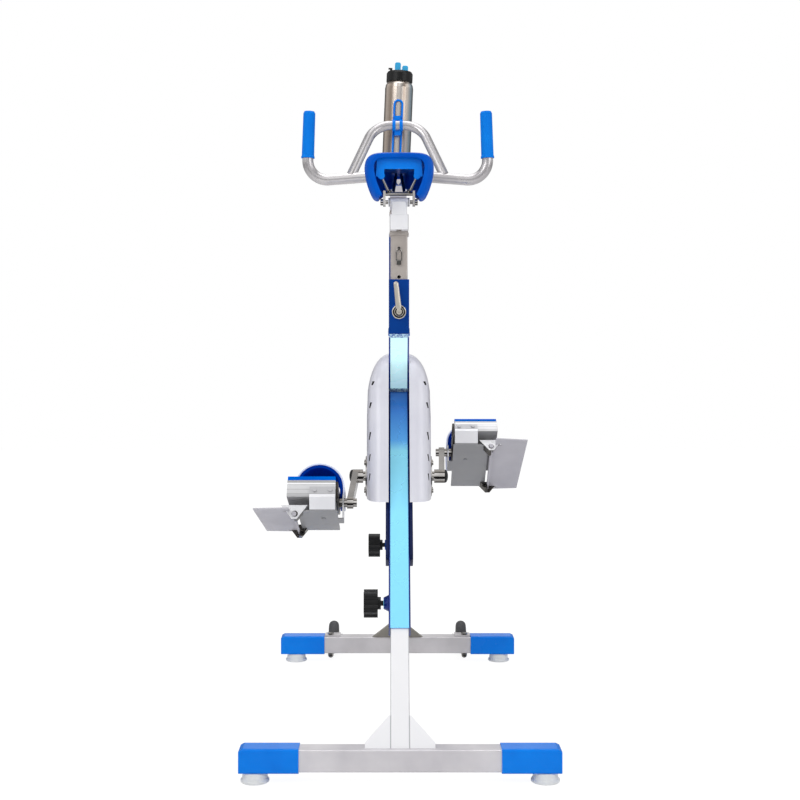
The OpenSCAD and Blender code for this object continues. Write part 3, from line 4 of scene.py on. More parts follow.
import bmesh
import bpy
from mathutils import Matrix, Vector


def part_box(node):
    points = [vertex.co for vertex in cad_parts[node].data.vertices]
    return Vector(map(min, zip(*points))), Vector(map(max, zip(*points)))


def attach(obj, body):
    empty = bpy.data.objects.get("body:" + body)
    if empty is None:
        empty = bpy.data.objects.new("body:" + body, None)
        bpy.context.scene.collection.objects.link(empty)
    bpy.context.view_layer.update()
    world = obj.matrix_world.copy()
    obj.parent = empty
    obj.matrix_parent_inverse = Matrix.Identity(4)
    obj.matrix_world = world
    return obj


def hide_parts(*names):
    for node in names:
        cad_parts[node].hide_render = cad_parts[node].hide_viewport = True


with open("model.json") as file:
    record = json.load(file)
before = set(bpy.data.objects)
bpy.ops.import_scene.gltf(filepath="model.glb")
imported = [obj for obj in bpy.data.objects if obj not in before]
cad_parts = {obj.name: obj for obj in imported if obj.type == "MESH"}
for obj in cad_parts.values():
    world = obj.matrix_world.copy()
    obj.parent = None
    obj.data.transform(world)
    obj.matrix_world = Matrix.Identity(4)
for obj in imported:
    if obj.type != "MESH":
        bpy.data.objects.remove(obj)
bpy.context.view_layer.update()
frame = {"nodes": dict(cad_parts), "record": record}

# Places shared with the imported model, in metres and degrees

cross_y, cross_z = -0.061117, 0.690
rear_lean, front_lean = math.radians(33.5), math.radians(35.9)
beam_half = 0.021
saddle_y, bar_tube_y = cross_y - 0.090, cross_y + 0.200
mitre_z = cross_z + 0.090 / math.tan(front_lean)
crank_len, crank_turn, crank_z = 0.170, math.radians(12.5), 0.507
pedal_pitch = {-1: math.radians(21), 1: math.radians(40)}
strap_x, strap_seat = 0.161, 0.0313
pedal_end_in, pedal_end_out = 0.1199, 0.1246
vent_heights = (0.708, 0.663, 0.601, 0.558, 0.520)
vent_offset, vent_slope = 0.0957, 0.361

# Shared shader effects


def effect_group(name, inputs, outputs):
    """A shader node group with named sockets; inputs are (name, kind, default)."""
    tree = bpy.data.node_groups.new(name, "ShaderNodeTree")
    kinds = {"float": "NodeSocketFloat", "vector": "NodeSocketVector", "colour": "NodeSocketColor"}
    for label, kind, default in inputs:
        socket = tree.interface.new_socket(label, in_out="INPUT", socket_type=kinds[kind])
        if default is not None:
            socket.default_value = default
    for label, kind in outputs:
        tree.interface.new_socket(label, in_out="OUTPUT", socket_type=kinds[kind])
    return tree, tree.nodes.new("NodeGroupInput"), tree.nodes.new("NodeGroupOutput")


def add(tree, kind, **settings):
    """A new node with its named inputs or settings filled in."""
    node = tree.nodes.new(kind)
    for key, value in settings.items():
        if key in node.inputs:
            node.inputs[key].default_value = value
        else:
            setattr(node, key, value)
    return node


def feed(tree, socket, value):
    """Links a socket into an input, or sets the input to a plain value."""
    if isinstance(value, bpy.types.NodeSocket):
        tree.links.new(value, socket)
    else:
        socket.default_value = value


def maths(tree, operation, *values):
    node = add(tree, "ShaderNodeMath", operation=operation)
    for socket, value in zip(node.inputs, values):
        feed(tree, socket, value)
    return node.outputs[0]


def parts_of(tree, vector):
    """The X, Y and Z outputs of a vector."""
    node = add(tree, "ShaderNodeSeparateXYZ")
    tree.links.new(vector, node.inputs["Vector"])
    return node.outputs


def span_of(tree, value, low, high):
    """Maps a value between low and high onto 0 to 1."""
    node = add(tree, "ShaderNodeMapRange")
    node.inputs["From Min"].default_value = low
    node.inputs["From Max"].default_value = high
    tree.links.new(value, node.inputs["Value"])
    return node.outputs["Result"]


def ramp_of(tree, value, stops):
    """A colour ramp through (place, colour) stops."""
    node = add(tree, "ShaderNodeValToRGB")
    while len(node.color_ramp.elements) < len(stops):
        node.color_ramp.elements.new(0.5)
    for element, (place, colour) in zip(node.color_ramp.elements, stops):
        element.position = place
        element.color = colour
    tree.links.new(value, node.inputs["Fac"])
    return node.outputs["Color"]


def scaled(stops, paint):
    """Stops at real heights, brought to 0 to 1, with each tone turned into a colour."""
    low, high = stops[0][0], stops[-1][0]
    return [((place - low) / (high - low), paint(tone)) for place, tone in stops]


def mixed(tree, under, over, share, **settings):
    """Lays one colour over another."""
    node = add(tree, "ShaderNodeMix", data_type="RGBA", **settings)
    for name, value in (("A", under), ("B", over), ("Factor", share)):
        feed(tree, node.inputs[name], value)
    return node.outputs["Result"]


def paint_of(mat):
    """The node tree of a finish, its surface node and the colour that feeds it."""
    body = mat.node_tree.nodes["Principled BSDF"]
    return mat.node_tree, body, body.inputs["Base Color"].links[0].from_socket


def make_cloud_effect():
    """Slow, soft unevenness, as in handled or moulded surfaces."""
    tree, start, end = effect_group(
        "soft_unevenness",
        [("Vector", "vector", None), ("Scale", "float", 8.0), ("Low", "float", 0.35), ("High", "float", 0.65)],
        [("Mask", "float")],
    )
    noise = add(tree, "ShaderNodeTexNoise", Detail=4.0, Roughness=0.55)
    spread = add(tree, "ShaderNodeMapRange")
    tree.links.new(start.outputs["Vector"], noise.inputs["Vector"])
    tree.links.new(start.outputs["Scale"], noise.inputs["Scale"])
    tree.links.new(noise.outputs["Fac"], spread.inputs["Value"])
    tree.links.new(start.outputs["Low"], spread.inputs["From Min"])
    tree.links.new(start.outputs["High"], spread.inputs["From Max"])
    tree.links.new(spread.outputs["Result"], end.inputs["Mask"])
    return tree


def make_brush_effect():
    """Fine parallel lines, as on drawn tube or brushed sheet."""
    tree, start, end = effect_group(
        "brushed_lines",
        [("Vector", "vector", None), ("Stretch", "vector", (900.0, 900.0, 14.0))],
        [("Mask", "float"), ("Height", "float")],
    )
    scaled = add(tree, "ShaderNodeVectorMath", operation="MULTIPLY")
    noise = add(tree, "ShaderNodeTexNoise", Scale=1.0, Detail=3.0, Roughness=0.6)
    tree.links.new(start.outputs["Vector"], scaled.inputs[0])
    tree.links.new(start.outputs["Stretch"], scaled.inputs[1])
    tree.links.new(scaled.outputs["Vector"], noise.inputs["Vector"])
    tree.links.new(noise.outputs["Fac"], end.inputs["Mask"])
    tree.links.new(noise.outputs["Fac"], end.inputs["Height"])
    return tree


def make_pebble_effect():
    """Small rounded cells, as on moulded grips, leather and tyres."""
    tree, start, end = effect_group(
        "pebble_grain",
        [("Vector", "vector", None), ("Scale", "float", 600.0)],
        [("Mask", "float"), ("Height", "float")],
    )
    cells = add(tree, "ShaderNodeTexVoronoi", feature="SMOOTH_F1")
    shape = add(tree, "ShaderNodeMapRange", **{"From Min": 0.1, "From Max": 0.7, "To Min": 1.0, "To Max": 0.0})
    tree.links.new(start.outputs["Vector"], cells.inputs["Vector"])
    tree.links.new(start.outputs["Scale"], cells.inputs["Scale"])
    tree.links.new(cells.outputs["Distance"], shape.inputs["Value"])
    tree.links.new(shape.outputs["Result"], end.inputs["Mask"])
    tree.links.new(shape.outputs["Result"], end.inputs["Height"])
    return tree


EFFECTS = {"cloud": make_cloud_effect(), "brush": make_brush_effect(), "pebble": make_pebble_effect()}


def place_effect(tree, kind, coords, **values):
    node = tree.nodes.new("ShaderNodeGroup")
    node.node_tree = EFFECTS[kind]
    for key, value in values.items():
        node.inputs[key].default_value = value
    tree.links.new(coords, node.inputs["Vector"])
    return node


def srgb(r, g, b):
    """A colour from 0 to 255 as linear values for a socket."""
    def one(v):
        v = v / 255.0
        return v / 12.92 if v <= 0.04045 else ((v + 0.055) / 1.055) ** 2.4
    return (one(r), one(g), one(b), 1.0)


def material(name, colour, shade=None, rough=(0.3, 0.45), metallic=0.0, coat=0.0, cloud=8.0,
             texture=None, texture_values=None, bump=0.0, depth=0.0002, transmission=0.0,
             tone_by="cloud", gleam=0.5, glow=0.0):
    """A finish whose colour and gloss vary with a slow unevenness and whose relief has a fine texture."""
    mat = bpy.data.materials.new(name)
    mat.use_nodes = True
    tree = mat.node_tree
    body = tree.nodes["Principled BSDF"]
    coords = tree.nodes.new("ShaderNodeTexCoord").outputs["Object"]
    uneven = place_effect(tree, "cloud", coords, Scale=cloud)
    mask = uneven.outputs["Mask"]
    fine = None
    if texture:
        fine = place_effect(tree, texture, coords, **(texture_values or {}))
    tone = fine.outputs["Mask"] if fine and tone_by == "texture" else mask
    blend = add(tree, "ShaderNodeMix", data_type="RGBA")
    blend.inputs["A"].default_value = colour
    blend.inputs["B"].default_value = shade or tuple(c * 0.86 for c in colour[:3]) + (1.0,)
    tree.links.new(tone, blend.inputs["Factor"])
    tree.links.new(blend.outputs["Result"], body.inputs["Base Color"])
    gloss = add(tree, "ShaderNodeMapRange")
    gloss.inputs["To Min"].default_value = rough[0]
    gloss.inputs["To Max"].default_value = rough[1]
    tree.links.new(mask, gloss.inputs["Value"])
    tree.links.new(gloss.outputs["Result"], body.inputs["Roughness"])
    if fine and bump:
        relief = add(tree, "ShaderNodeBump")
        relief.inputs["Strength"].default_value = bump
        relief.inputs["Distance"].default_value = depth
        tree.links.new(fine.outputs["Height"], relief.inputs["Height"])
        tree.links.new(relief.outputs["Normal"], body.inputs["Normal"])
    body.inputs["Metallic"].default_value = metallic
    body.inputs["Coat Weight"].default_value = coat
    body.inputs["Transmission Weight"].default_value = transmission
    body.inputs["Specular IOR Level"].default_value = gleam
    if glow:
        tree.links.new(blend.outputs["Result"], body.inputs["Emission Color"])
        body.inputs["Emission Strength"].default_value = glow
    return mat


def painted_light_ramp(mat, stops, facing=(-0.45, -0.7), edge=None, edge_shade_colour=None, glow=0.0):
    """Lays a colour ramp over height, in metres, on the faces that look backwards, as painted light and shade, with
    the edges darkened as painted shade; glow makes the painted colour shine.
    """
    tree, body, colour = paint_of(mat)
    place = parts_of(tree, add(tree, "ShaderNodeTexCoord").outputs["Object"])
    way = parts_of(tree, add(tree, "ShaderNodeNewGeometry").outputs["Normal"])
    height = span_of(tree, place["Z"], stops[0][0], stops[-1][0])
    tones = ramp_of(tree, height, scaled(stops, tuple))
    colour = mixed(tree, colour, tones, span_of(tree, way["Y"], *facing))
    if edge:
        # Painted shade: the sides near the tube's edges are darkened.
        side = maths(tree, "ABSOLUTE", place["X"])
        rim = span_of(tree, side, edge[0], edge[0] + edge_shade_fade)
        inside = maths(tree, "LESS_THAN", side, edge[1])
        colour = mixed(tree, colour, edge_shade_colour or edge_shade_blue, maths(tree, "MULTIPLY", rim, inside))
    tree.links.new(colour, body.inputs["Base Color"])
    # The painted colour also glows, as painted light.
    if glow:
        tree.links.new(colour, body.inputs["Emission Color"])
        body.inputs["Emission Strength"].default_value = glow
    return mat


def painted_light_bands(mat, origin, above, stops):
    """Lays a ramp of grey tones over the height above an axle, along the pedal's own upward direction, as painted
    light: light bands are painted highlights and dark bands painted shade.
    """
    tree, body, colour = paint_of(mat)
    shift = add(tree, "ShaderNodeVectorMath", operation="SUBTRACT")
    shift.inputs[1].default_value = origin
    height = add(tree, "ShaderNodeVectorMath", operation="DOT_PRODUCT")
    height.inputs[1].default_value = above
    tree.links.new(add(tree, "ShaderNodeTexCoord").outputs["Object"], shift.inputs[0])
    tree.links.new(shift.outputs["Vector"], height.inputs[0])
    level = span_of(tree, height.outputs["Value"], stops[0][0], stops[-1][0])
    tones = ramp_of(tree, level, scaled(stops, lambda tone: srgb(tone, tone, tone + 1)))
    tree.links.new(mixed(tree, colour, tones, 1.0, blend_type="MULTIPLY"), body.inputs["Base Color"])
    return mat


def facing_bands(mat, along, aside, stops):
    """Lays light and dark bands over a round part by the way its surface faces, as a bright room shows in it."""
    tree, body, colour = paint_of(mat)
    way = parts_of(tree, add(tree, "ShaderNodeTexCoord").outputs["Normal"])
    tones = ramp_of(tree, span_of(tree, way[along], -1.0, 1.0), scaled(stops, lambda tone: srgb(*tone)))
    share = span_of(tree, maths(tree, "ABSOLUTE", way[aside]), 0.7, 0.45)
    tree.links.new(mixed(tree, colour, tones, share, blend_type="MULTIPLY"), body.inputs["Base Color"])
    return mat


def shade_inside(mat, shade):
    """Darkens the faces that look inwards, towards the middle plane of the machine."""
    tree, body, colour = paint_of(mat)
    coords = add(tree, "ShaderNodeTexCoord")
    side, way = parts_of(tree, coords.outputs["Object"]), parts_of(tree, coords.outputs["Normal"])
    inward = maths(tree, "LESS_THAN", maths(tree, "MULTIPLY", side["X"], way["X"]), -0.004)
    tree.links.new(mixed(tree, colour, shade, inward), body.inputs["Base Color"])
    return mat


# Width over which the painted edge shade fades in.
edge_shade_fade = 0.0006
deep_blue = srgb(10, 70, 175)
# Weld beads of deep blue, speckled with near white cyan as painted glints.
weld_painted_glints = material("weld_bead", srgb(214, 248, 255), srgb(8, 70, 170), rough=(0.25, 0.4), metallic=0.1,
                     texture="pebble", texture_values={"Scale": 900.0}, bump=0.2, cloud=260.0, depth=0.0003)
# The inner strap band's blue rubber, darkened to navy as painted shade for the inside of the strap.
strap_inner = material("strap_blue_painted_shade", srgb(0, 52, 150), srgb(0, 34, 126), gleam=0.0, rough=(0.35, 0.5),
                       texture="pebble", texture_values={"Scale": 1100.0}, bump=0.15, depth=0.0002)
mid_blue = srgb(10, 108, 222)
# Dark blue of the painted shade along the edges of the beam and strut.
edge_shade_blue = srgb(4, 38, 120)
# Distances from the middle plane between which the sides get painted edge shade.
beam_shade_edges = (0.0174, 0.0300)
anodised = material("anodised_blue", mid_blue, deep_blue, rough=(0.22, 0.32), metallic=0.85, coat=0.3,
                    texture="brush", bump=0.08, depth=0.0001)
# The beam's blue under painted light: light cyan low down as a painted highlight, deepening to dark blue higher up as
# painted shade, on its backward faces, with painted edge shade and a faint glow.
beam_with_painted_light = painted_light_ramp(
    material("anodised_beam_painted_light", mid_blue, deep_blue, rough=(0.22, 0.32), metallic=0.45, coat=0.3,
             texture="brush", bump=0.006, depth=0.0001),
    [(0.20, srgb(128, 214, 255)), (0.57, srgb(142, 228, 255)), (0.59, srgb(84, 176, 252)),
     (0.65, srgb(40, 130, 225)), (0.70, srgb(16, 78, 160)), (0.76, srgb(16, 78, 165))], edge=beam_shade_edges, glow=0.12)
# The strut's blue under painted light: near white cyan on its backward faces as a painted highlight, with painted edge
# shade and a glow of the painted colour.
strut_with_painted_light = painted_light_ramp(
    material("anodised_strut_painted_light", mid_blue, deep_blue, rough=(0.22, 0.32), metallic=0.3, coat=0.3,
             texture="brush", bump=0.006, depth=0.0001),
    [(0.68, srgb(200, 246, 255)), (0.72, srgb(214, 251, 255)), (0.80, srgb(214, 251, 255)),
     (0.83, srgb(150, 220, 250))], facing=(-0.2, -0.5), edge=beam_shade_edges, glow=0.42)
bright_alu = material("bright_aluminium", srgb(226, 223, 226), srgb(206, 203, 208), rough=(0.32, 0.42), metallic=0.55,
                      texture="brush", bump=0.06, depth=0.0001)
grey_alu = material("grey_aluminium", srgb(216, 213, 216), srgb(196, 193, 196), rough=(0.3, 0.42), metallic=0.3,
                    texture="brush", bump=0.1, depth=0.0001)
warm_alu = material("warm_aluminium", srgb(158, 154, 146), srgb(134, 131, 125), rough=(0.34, 0.5), metallic=0.5,
                    texture="brush", bump=0.1, depth=0.0001)


def bright_square(name, stops, edge, edge_shade_tone):
    """A nearly white drawn tube, a little lighter upwards on its backward faces as painted light, with thin grey lines
    of painted shade along its edges.
    """
    base = material(name, srgb(240, 240, 243), srgb(230, 230, 234), rough=(0.3, 0.4), metallic=0.05,
                    texture="brush", bump=0.05, depth=0.0001)
    return painted_light_ramp(base, stops, edge=edge, edge_shade_colour=srgb(*edge_shade_tone))


leg_white = bright_square("bright_leg", [(0.0, srgb(238, 238, 241)), (0.4, srgb(246, 246, 248))],
                          (0.0160, 0.0180), (176, 176, 181))
slide_white = bright_square("bright_slider", [(0.9, srgb(240, 240, 243)), (1.2, srgb(246, 246, 248))],
                            (0.0176, 0.0200), (150, 150, 154))
bar_silver = material("drawn_silver", srgb(216, 213, 214), srgb(190, 187, 189), rough=(0.24, 0.34), metallic=0.7,
                      texture="brush", bump=0.06, depth=0.0001)
post_silver = material("post_silver", srgb(200, 192, 186), srgb(178, 170, 164), rough=(0.3, 0.42), metallic=0.3,
                       texture="brush", bump=0.1, depth=0.0001)
lever_silver = material("lever_silver", srgb(226, 220, 208), srgb(190, 184, 172), rough=(0.24, 0.34), metallic=0.45,
                        texture="pebble", texture_values={"Scale": 700.0}, bump=0.06)
tube_blue = material("anodised_tube", srgb(10, 76, 170), srgb(4, 60, 146), rough=(0.22, 0.32), metallic=0.5,
                     texture="brush", bump=0.08, depth=0.0001, gleam=0.2)
polished = facing_bands(
    material("polished_steel", srgb(226, 223, 220), srgb(160, 157, 154), rough=(0.1, 0.22), metallic=0.95,
             texture="brush", bump=0.05, depth=0.0001),
    "Z", "X", [(-1.0, (110, 108, 105)), (-0.62, (170, 167, 163)), (-0.5, (255, 255, 255)), (-0.36, (255, 255, 255)),
               (-0.3, (20, 18, 17)), (-0.02, (14, 13, 12)), (0.06, (250, 250, 250)), (0.5, (255, 255, 255)),
               (0.58, (70, 67, 64)), (1.0, (150, 147, 144))])
brushed_steel = facing_bands(
    material("bottle_steel", srgb(246, 240, 234), srgb(206, 198, 191), rough=(0.24, 0.34), metallic=0.9,
             texture="brush", bump=0.1, depth=0.0001, tone_by="texture",
             texture_values={"Stretch": (14.0, 14.0, 1400.0)}),
    "X", "Z", [(-1.0, (112, 104, 97)), (-0.82, (214, 206, 199)), (-0.55, (168, 156, 146)), (-0.2, (238, 233, 228)),
               (0.1, (255, 255, 255)), (0.36, (176, 164, 154)), (0.6, (248, 243, 238)), (0.84, (150, 176, 196)),
               (1.0, (104, 98, 92))])
cover_white = shade_inside(
    material("moulded_cover", srgb(222, 222, 231), srgb(213, 213, 224), rough=(0.3, 0.38), coat=0.25,
             texture="pebble", texture_values={"Scale": 1400.0}, bump=0.06, depth=0.0001),
    srgb(70, 70, 78))
cap_blue = material("moulded_blue", srgb(0, 132, 240), srgb(0, 118, 226), gleam=0.12, rough=(0.18, 0.28), coat=0.06,
                    texture="pebble", texture_values={"Scale": 1200.0}, bump=0.03, depth=0.0001)
grip_blue = material("grip_foam", srgb(0, 136, 240), srgb(0, 118, 226), gleam=0.1, rough=(0.5, 0.65),
                     texture="pebble", texture_values={"Scale": 900.0}, bump=0.35, depth=0.0004)
tread_blue = material("tread_rubber", srgb(0, 112, 222), srgb(0, 88, 198), gleam=0.0, rough=(0.4, 0.55),
                      texture="pebble", texture_values={"Scale": 900.0}, bump=0.2, depth=0.0003)
strap_outer = material("strap_pale", srgb(226, 232, 250), srgb(210, 216, 242), rough=(0.35, 0.5),
                       texture="pebble", texture_values={"Scale": 1100.0}, bump=0.15, depth=0.0002)
saddle_blue = material("saddle_skin", srgb(0, 98, 208), srgb(0, 76, 184), gleam=0.06, rough=(0.26, 0.38), coat=0.0,
                       texture="pebble", texture_values={"Scale": 1000.0}, bump=0.22, depth=0.0003)
black_plastic = material("black_plastic", srgb(16, 16, 18), srgb(9, 9, 10), gleam=0.3, rough=(0.35, 0.5),
                         texture="pebble", texture_values={"Scale": 1200.0}, bump=0.15, depth=0.0002)
wheel_rubber = material("wheel_rubber", srgb(84, 84, 87), srgb(62, 62, 65), rough=(0.5, 0.7),
                        texture="pebble", texture_values={"Scale": 900.0}, bump=0.2, depth=0.0003)
wing_grey = material("wing_sheet", srgb(196, 194, 201), srgb(182, 180, 188), rough=(0.4, 0.5), metallic=0.15,
                     texture="brush", bump=0.05, depth=0.0001)
dark_steel = material("shaded_steel", srgb(104, 100, 96), srgb(58, 55, 52), rough=(0.16, 0.28), metallic=0.9,
                      texture="brush", bump=0.08, depth=0.0001)
bright_steel = material("bright_steel", srgb(244, 244, 246), srgb(226, 226, 230), rough=(0.25, 0.35), metallic=0.25,
                        texture="brush", bump=0.04, depth=0.0001)
black_steel = material("black_socket", srgb(26, 25, 25), srgb(12, 12, 12), rough=(0.3, 0.4), metallic=0.4,
                       texture="pebble", texture_values={"Scale": 1500.0}, bump=0.05)
foot_clear = material("clear_foot", srgb(248, 249, 249), srgb(238, 240, 240), rough=(0.25, 0.35), coat=0.3,
                      transmission=0.15, texture="pebble", texture_values={"Scale": 700.0}, bump=0.05)
spout_blue = material("spout_blue", srgb(40, 178, 232), srgb(24, 156, 216), rough=(0.2, 0.3), coat=0.3,
                      texture="pebble", texture_values={"Scale": 1500.0}, bump=0.05)
dark_blue = material("shaded_blue", srgb(8, 30, 84), srgb(5, 22, 66), rough=(0.3, 0.4), metallic=0.6,
                     texture="brush", bump=0.08, depth=0.0001)

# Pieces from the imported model


def set_material(obj, mat):
    obj.data.materials.clear()
    obj.data.materials.append(mat)


def smooth_by_angle(obj, degrees=35):
    obj.data.shade_smooth()
    obj.data.set_sharp_from_angle(angle=math.radians(degrees))


def bake_modifiers(obj):
    """Applies what the modifiers make, as a plain mesh."""
    bpy.context.view_layer.update()
    ready = obj.evaluated_get(bpy.context.evaluated_depsgraph_get())
    mesh = bpy.data.meshes.new_from_object(ready)
    obj.modifiers.clear()
    obj.data = mesh


def new_object(name, mesh):
    obj = bpy.data.objects.new(name, mesh)
    bpy.context.scene.collection.objects.link(obj)
    return obj


def mesh_of(name, work):
    """Turns the built faces into a mesh that faces outwards."""
    mesh = bpy.data.meshes.new(name)
    bmesh.ops.recalc_face_normals(work, faces=work.faces)
    work.to_mesh(mesh)
    work.free()
    return mesh


def skin(work, loops):
    """Faces between rings of vertices, closed at both ends."""
    count = len(loops[0])
    for one, two in zip(loops, loops[1:]):
        for i in range(count):
            j = (i + 1) % count
            work.faces.new((one[i], one[j], two[j], two[i]))
    work.faces.new(loops[0][::-1])
    work.faces.new(loops[-1])


def circle(sides):
    return [2 * math.pi * i / sides for i in range(sides)]


def round_edges(obj, width, segments=2, angle=32, smooth=38):
    bevel = obj.modifiers.new("rounded_edges", "BEVEL")
    bevel.width = width
    bevel.segments = segments
    bevel.limit_method = "ANGLE"
    bevel.angle_limit = math.radians(angle)
    bevel.miter_outer = "MITER_ARC"
    bake_modifiers(obj)
    smooth_by_angle(obj, smooth)


def softened(node, mat, width=0.0007):
    """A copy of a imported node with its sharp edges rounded, which stands for the node."""
    mesh = frame["nodes"][node].data.copy()
    obj = new_object(node + "_finished", mesh)
    work = bmesh.new()
    work.from_mesh(mesh)
    bmesh.ops.remove_doubles(work, verts=work.verts, dist=2e-6)
    bmesh.ops.dissolve_limit(work, angle_limit=math.radians(0.6), verts=work.verts, edges=work.edges)
    work.to_mesh(mesh)
    work.free()
    set_material(obj, mat)
    round_edges(obj, width)
    flat = obj.modifiers.new("even_faces", "WEIGHTED_NORMAL")
    flat.keep_sharp = True
    bake_modifiers(obj)
    ride_for(obj, node)
    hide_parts(node)
    return obj


BODY_OF = {n: body for body, names in frame["record"]["behaviour"]["bodies"].items() for n in names}


def ride_for(obj, node):
    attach(obj, BODY_OF[node])


FINISHES = {
    "main_beam": beam_with_painted_light, "front_beam": anodised, "saddle_strut": strut_with_painted_light, "saddle_tube": tube_blue,
    "handlebar_tube": tube_blue, "crank_housing": dark_blue, "bearing_flanges": polished,
    "cover_left": cover_white, "cover_right": cover_white, "rear_bar": bright_alu, "front_bar": grey_alu,
    "rear_end_caps": cap_blue, "front_end_caps": cap_blue, "rear_leg": leg_white, "front_leg": warm_alu,
    "wheel_brackets": grey_alu, "crank_left": polished, "crank_right": polished,
    "tread_left": tread_blue, "tread_right": tread_blue,
    "wing_left": wing_grey, "wing_right": wing_grey,
    "saddle_post": post_silver, "saddle_slider": slide_white, "saddle_head": slide_white,
    "saddle_clamp": polished, "saddle_pan": cap_blue, "handlebar_post": post_silver,
    "handlebar_slider": bright_alu, "bottle_spout": spout_blue,
}
PLAIN = {
    "crank_bushes": black_plastic, "cover_screws": polished, "rear_feet": foot_clear, "front_feet": foot_clear,
    "wheel_left": wheel_rubber, "wheel_right": wheel_rubber, "wheel_axles": polished,
    "rear_leg_knob": black_plastic, "front_leg_knob": black_plastic, "crank_axle": polished,
    "crank_caps": black_plastic, "pedal_axles": polished, "post_clip": polished, "saddle_rails": polished,
    "handlebar": bar_silver, "grips": grip_blue, "bottle_cage": cap_blue,
    "bottle": brushed_steel, "bottle_cap": black_plastic,
}
def shade_vents(obj):
    """Darkens the walls of the vent slots, where little light comes."""
    obj.data.materials.append(black_plastic)
    for face in obj.data.polygons:
        z = min(vent_heights, key=lambda height: abs(height - face.center.z))
        offset = vent_offset + vent_slope * (vent_heights[1] - z)
        y = cross_y + math.copysign(offset, face.center.y - cross_y)
        if abs(face.center.y - y) < 0.0042 and abs(face.center.z - z) < 0.009 and abs(face.normal.x) < 0.45:
            face.material_index = 1


for node, mat in FINISHES.items():
    piece = softened(node, mat)
    if mat == cover_white:
        shade_vents(piece)
for node, mat in PLAIN.items():
    set_material(frame["nodes"][node], mat)


def pedal_frame(side):
    """The pedal's axle end, its forward and its upward direction."""
    p = pedal_pitch[side]
    y = cross_y + side * crank_len * math.cos(crank_turn)
    z = crank_z + side * crank_len * math.sin(crank_turn)
    return Vector((0, y, z)), Vector((0, math.cos(p), -math.sin(p))), Vector((0, math.sin(p), math.cos(p)))


for side, label in ((-1, "left"), (1, "right")):
    axle, ahead, above = pedal_frame(side)
    profile = material("pedal_profile_painted_light_" + label, srgb(255, 255, 255), srgb(240, 240, 242), rough=(0.3, 0.4),
                       metallic=0.3, texture="brush", bump=0.08, depth=0.0001)
    # Bright and dark bands over the profile: painted highlights and painted shade.
    painted_light_bands(profile, axle, above, [
        (-0.0140, 170), (-0.0080, 196), (-0.0070, 150), (-0.0062, 205), (0.0020, 214), (0.0028, 160), (0.0036, 216),
        (0.0120, 222), (0.0126, 140), (0.0136, 250), (0.0168, 250), (0.0176, 150), (0.0184, 176), (0.0230, 184)])
    softened("pedal_" + label, profile)
    sheet = material("paddle_bend_painted_light_" + label, srgb(250, 250, 252), srgb(238, 238, 241), rough=(0.36, 0.48),
                     metallic=0.15, texture="brush", bump=0.05, depth=0.0001)
    # Bright and dark bands over the paddle: painted highlight and painted shade.
    painted_light_bands(sheet, axle, above, [
        (-0.0400, 160), (-0.0352, 164), (-0.0345, 255), (-0.0085, 252), (-0.0078, 150), (-0.0068, 196), (0.0200, 204)])
    softened("paddle_" + label, sheet)

# Repeated small parts


def repeat_tree(name, template):
    """Geometry nodes that put a copy of the template on each point, turned to its aim."""
    tree = bpy.data.node_groups.new(name, "GeometryNodeTree")
    tree.interface.new_socket("Geometry", in_out="INPUT", socket_type="NodeSocketGeometry")
    size = tree.interface.new_socket("Size", in_out="INPUT", socket_type="NodeSocketFloat")
    size.default_value = 1.0
    tree.interface.new_socket("Finish", in_out="INPUT", socket_type="NodeSocketMaterial")
    tree.interface.new_socket("Geometry", in_out="OUTPUT", socket_type="NodeSocketGeometry")
    start, end = tree.nodes.new("NodeGroupInput"), tree.nodes.new("NodeGroupOutput")
    shape = tree.nodes.new("GeometryNodeObjectInfo")
    shape.inputs["Object"].default_value = template
    aim = tree.nodes.new("GeometryNodeInputNamedAttribute")
    aim.data_type = "FLOAT_VECTOR"
    aim.inputs["Name"].default_value = "aim"
    turn = tree.nodes.new("FunctionNodeAlignRotationToVector")
    turn.axis = "Z"
    place = tree.nodes.new("GeometryNodeInstanceOnPoints")
    realize = tree.nodes.new("GeometryNodeRealizeInstances")
    paint = tree.nodes.new("GeometryNodeSetMaterial")
    link = tree.links.new
    link(start.outputs["Geometry"], place.inputs["Points"])
    link(shape.outputs["Geometry"], place.inputs["Instance"])
    link(aim.outputs["Attribute"], turn.inputs["Vector"])
    link(turn.outputs["Rotation"], place.inputs["Rotation"])
    link(start.outputs["Size"], place.inputs["Scale"])
    link(place.outputs["Instances"], realize.inputs["Geometry"])
    link(realize.outputs["Geometry"], paint.inputs["Geometry"])
    link(start.outputs["Finish"], paint.inputs["Material"])
    link(paint.outputs["Geometry"], end.inputs["Geometry"])
    return tree


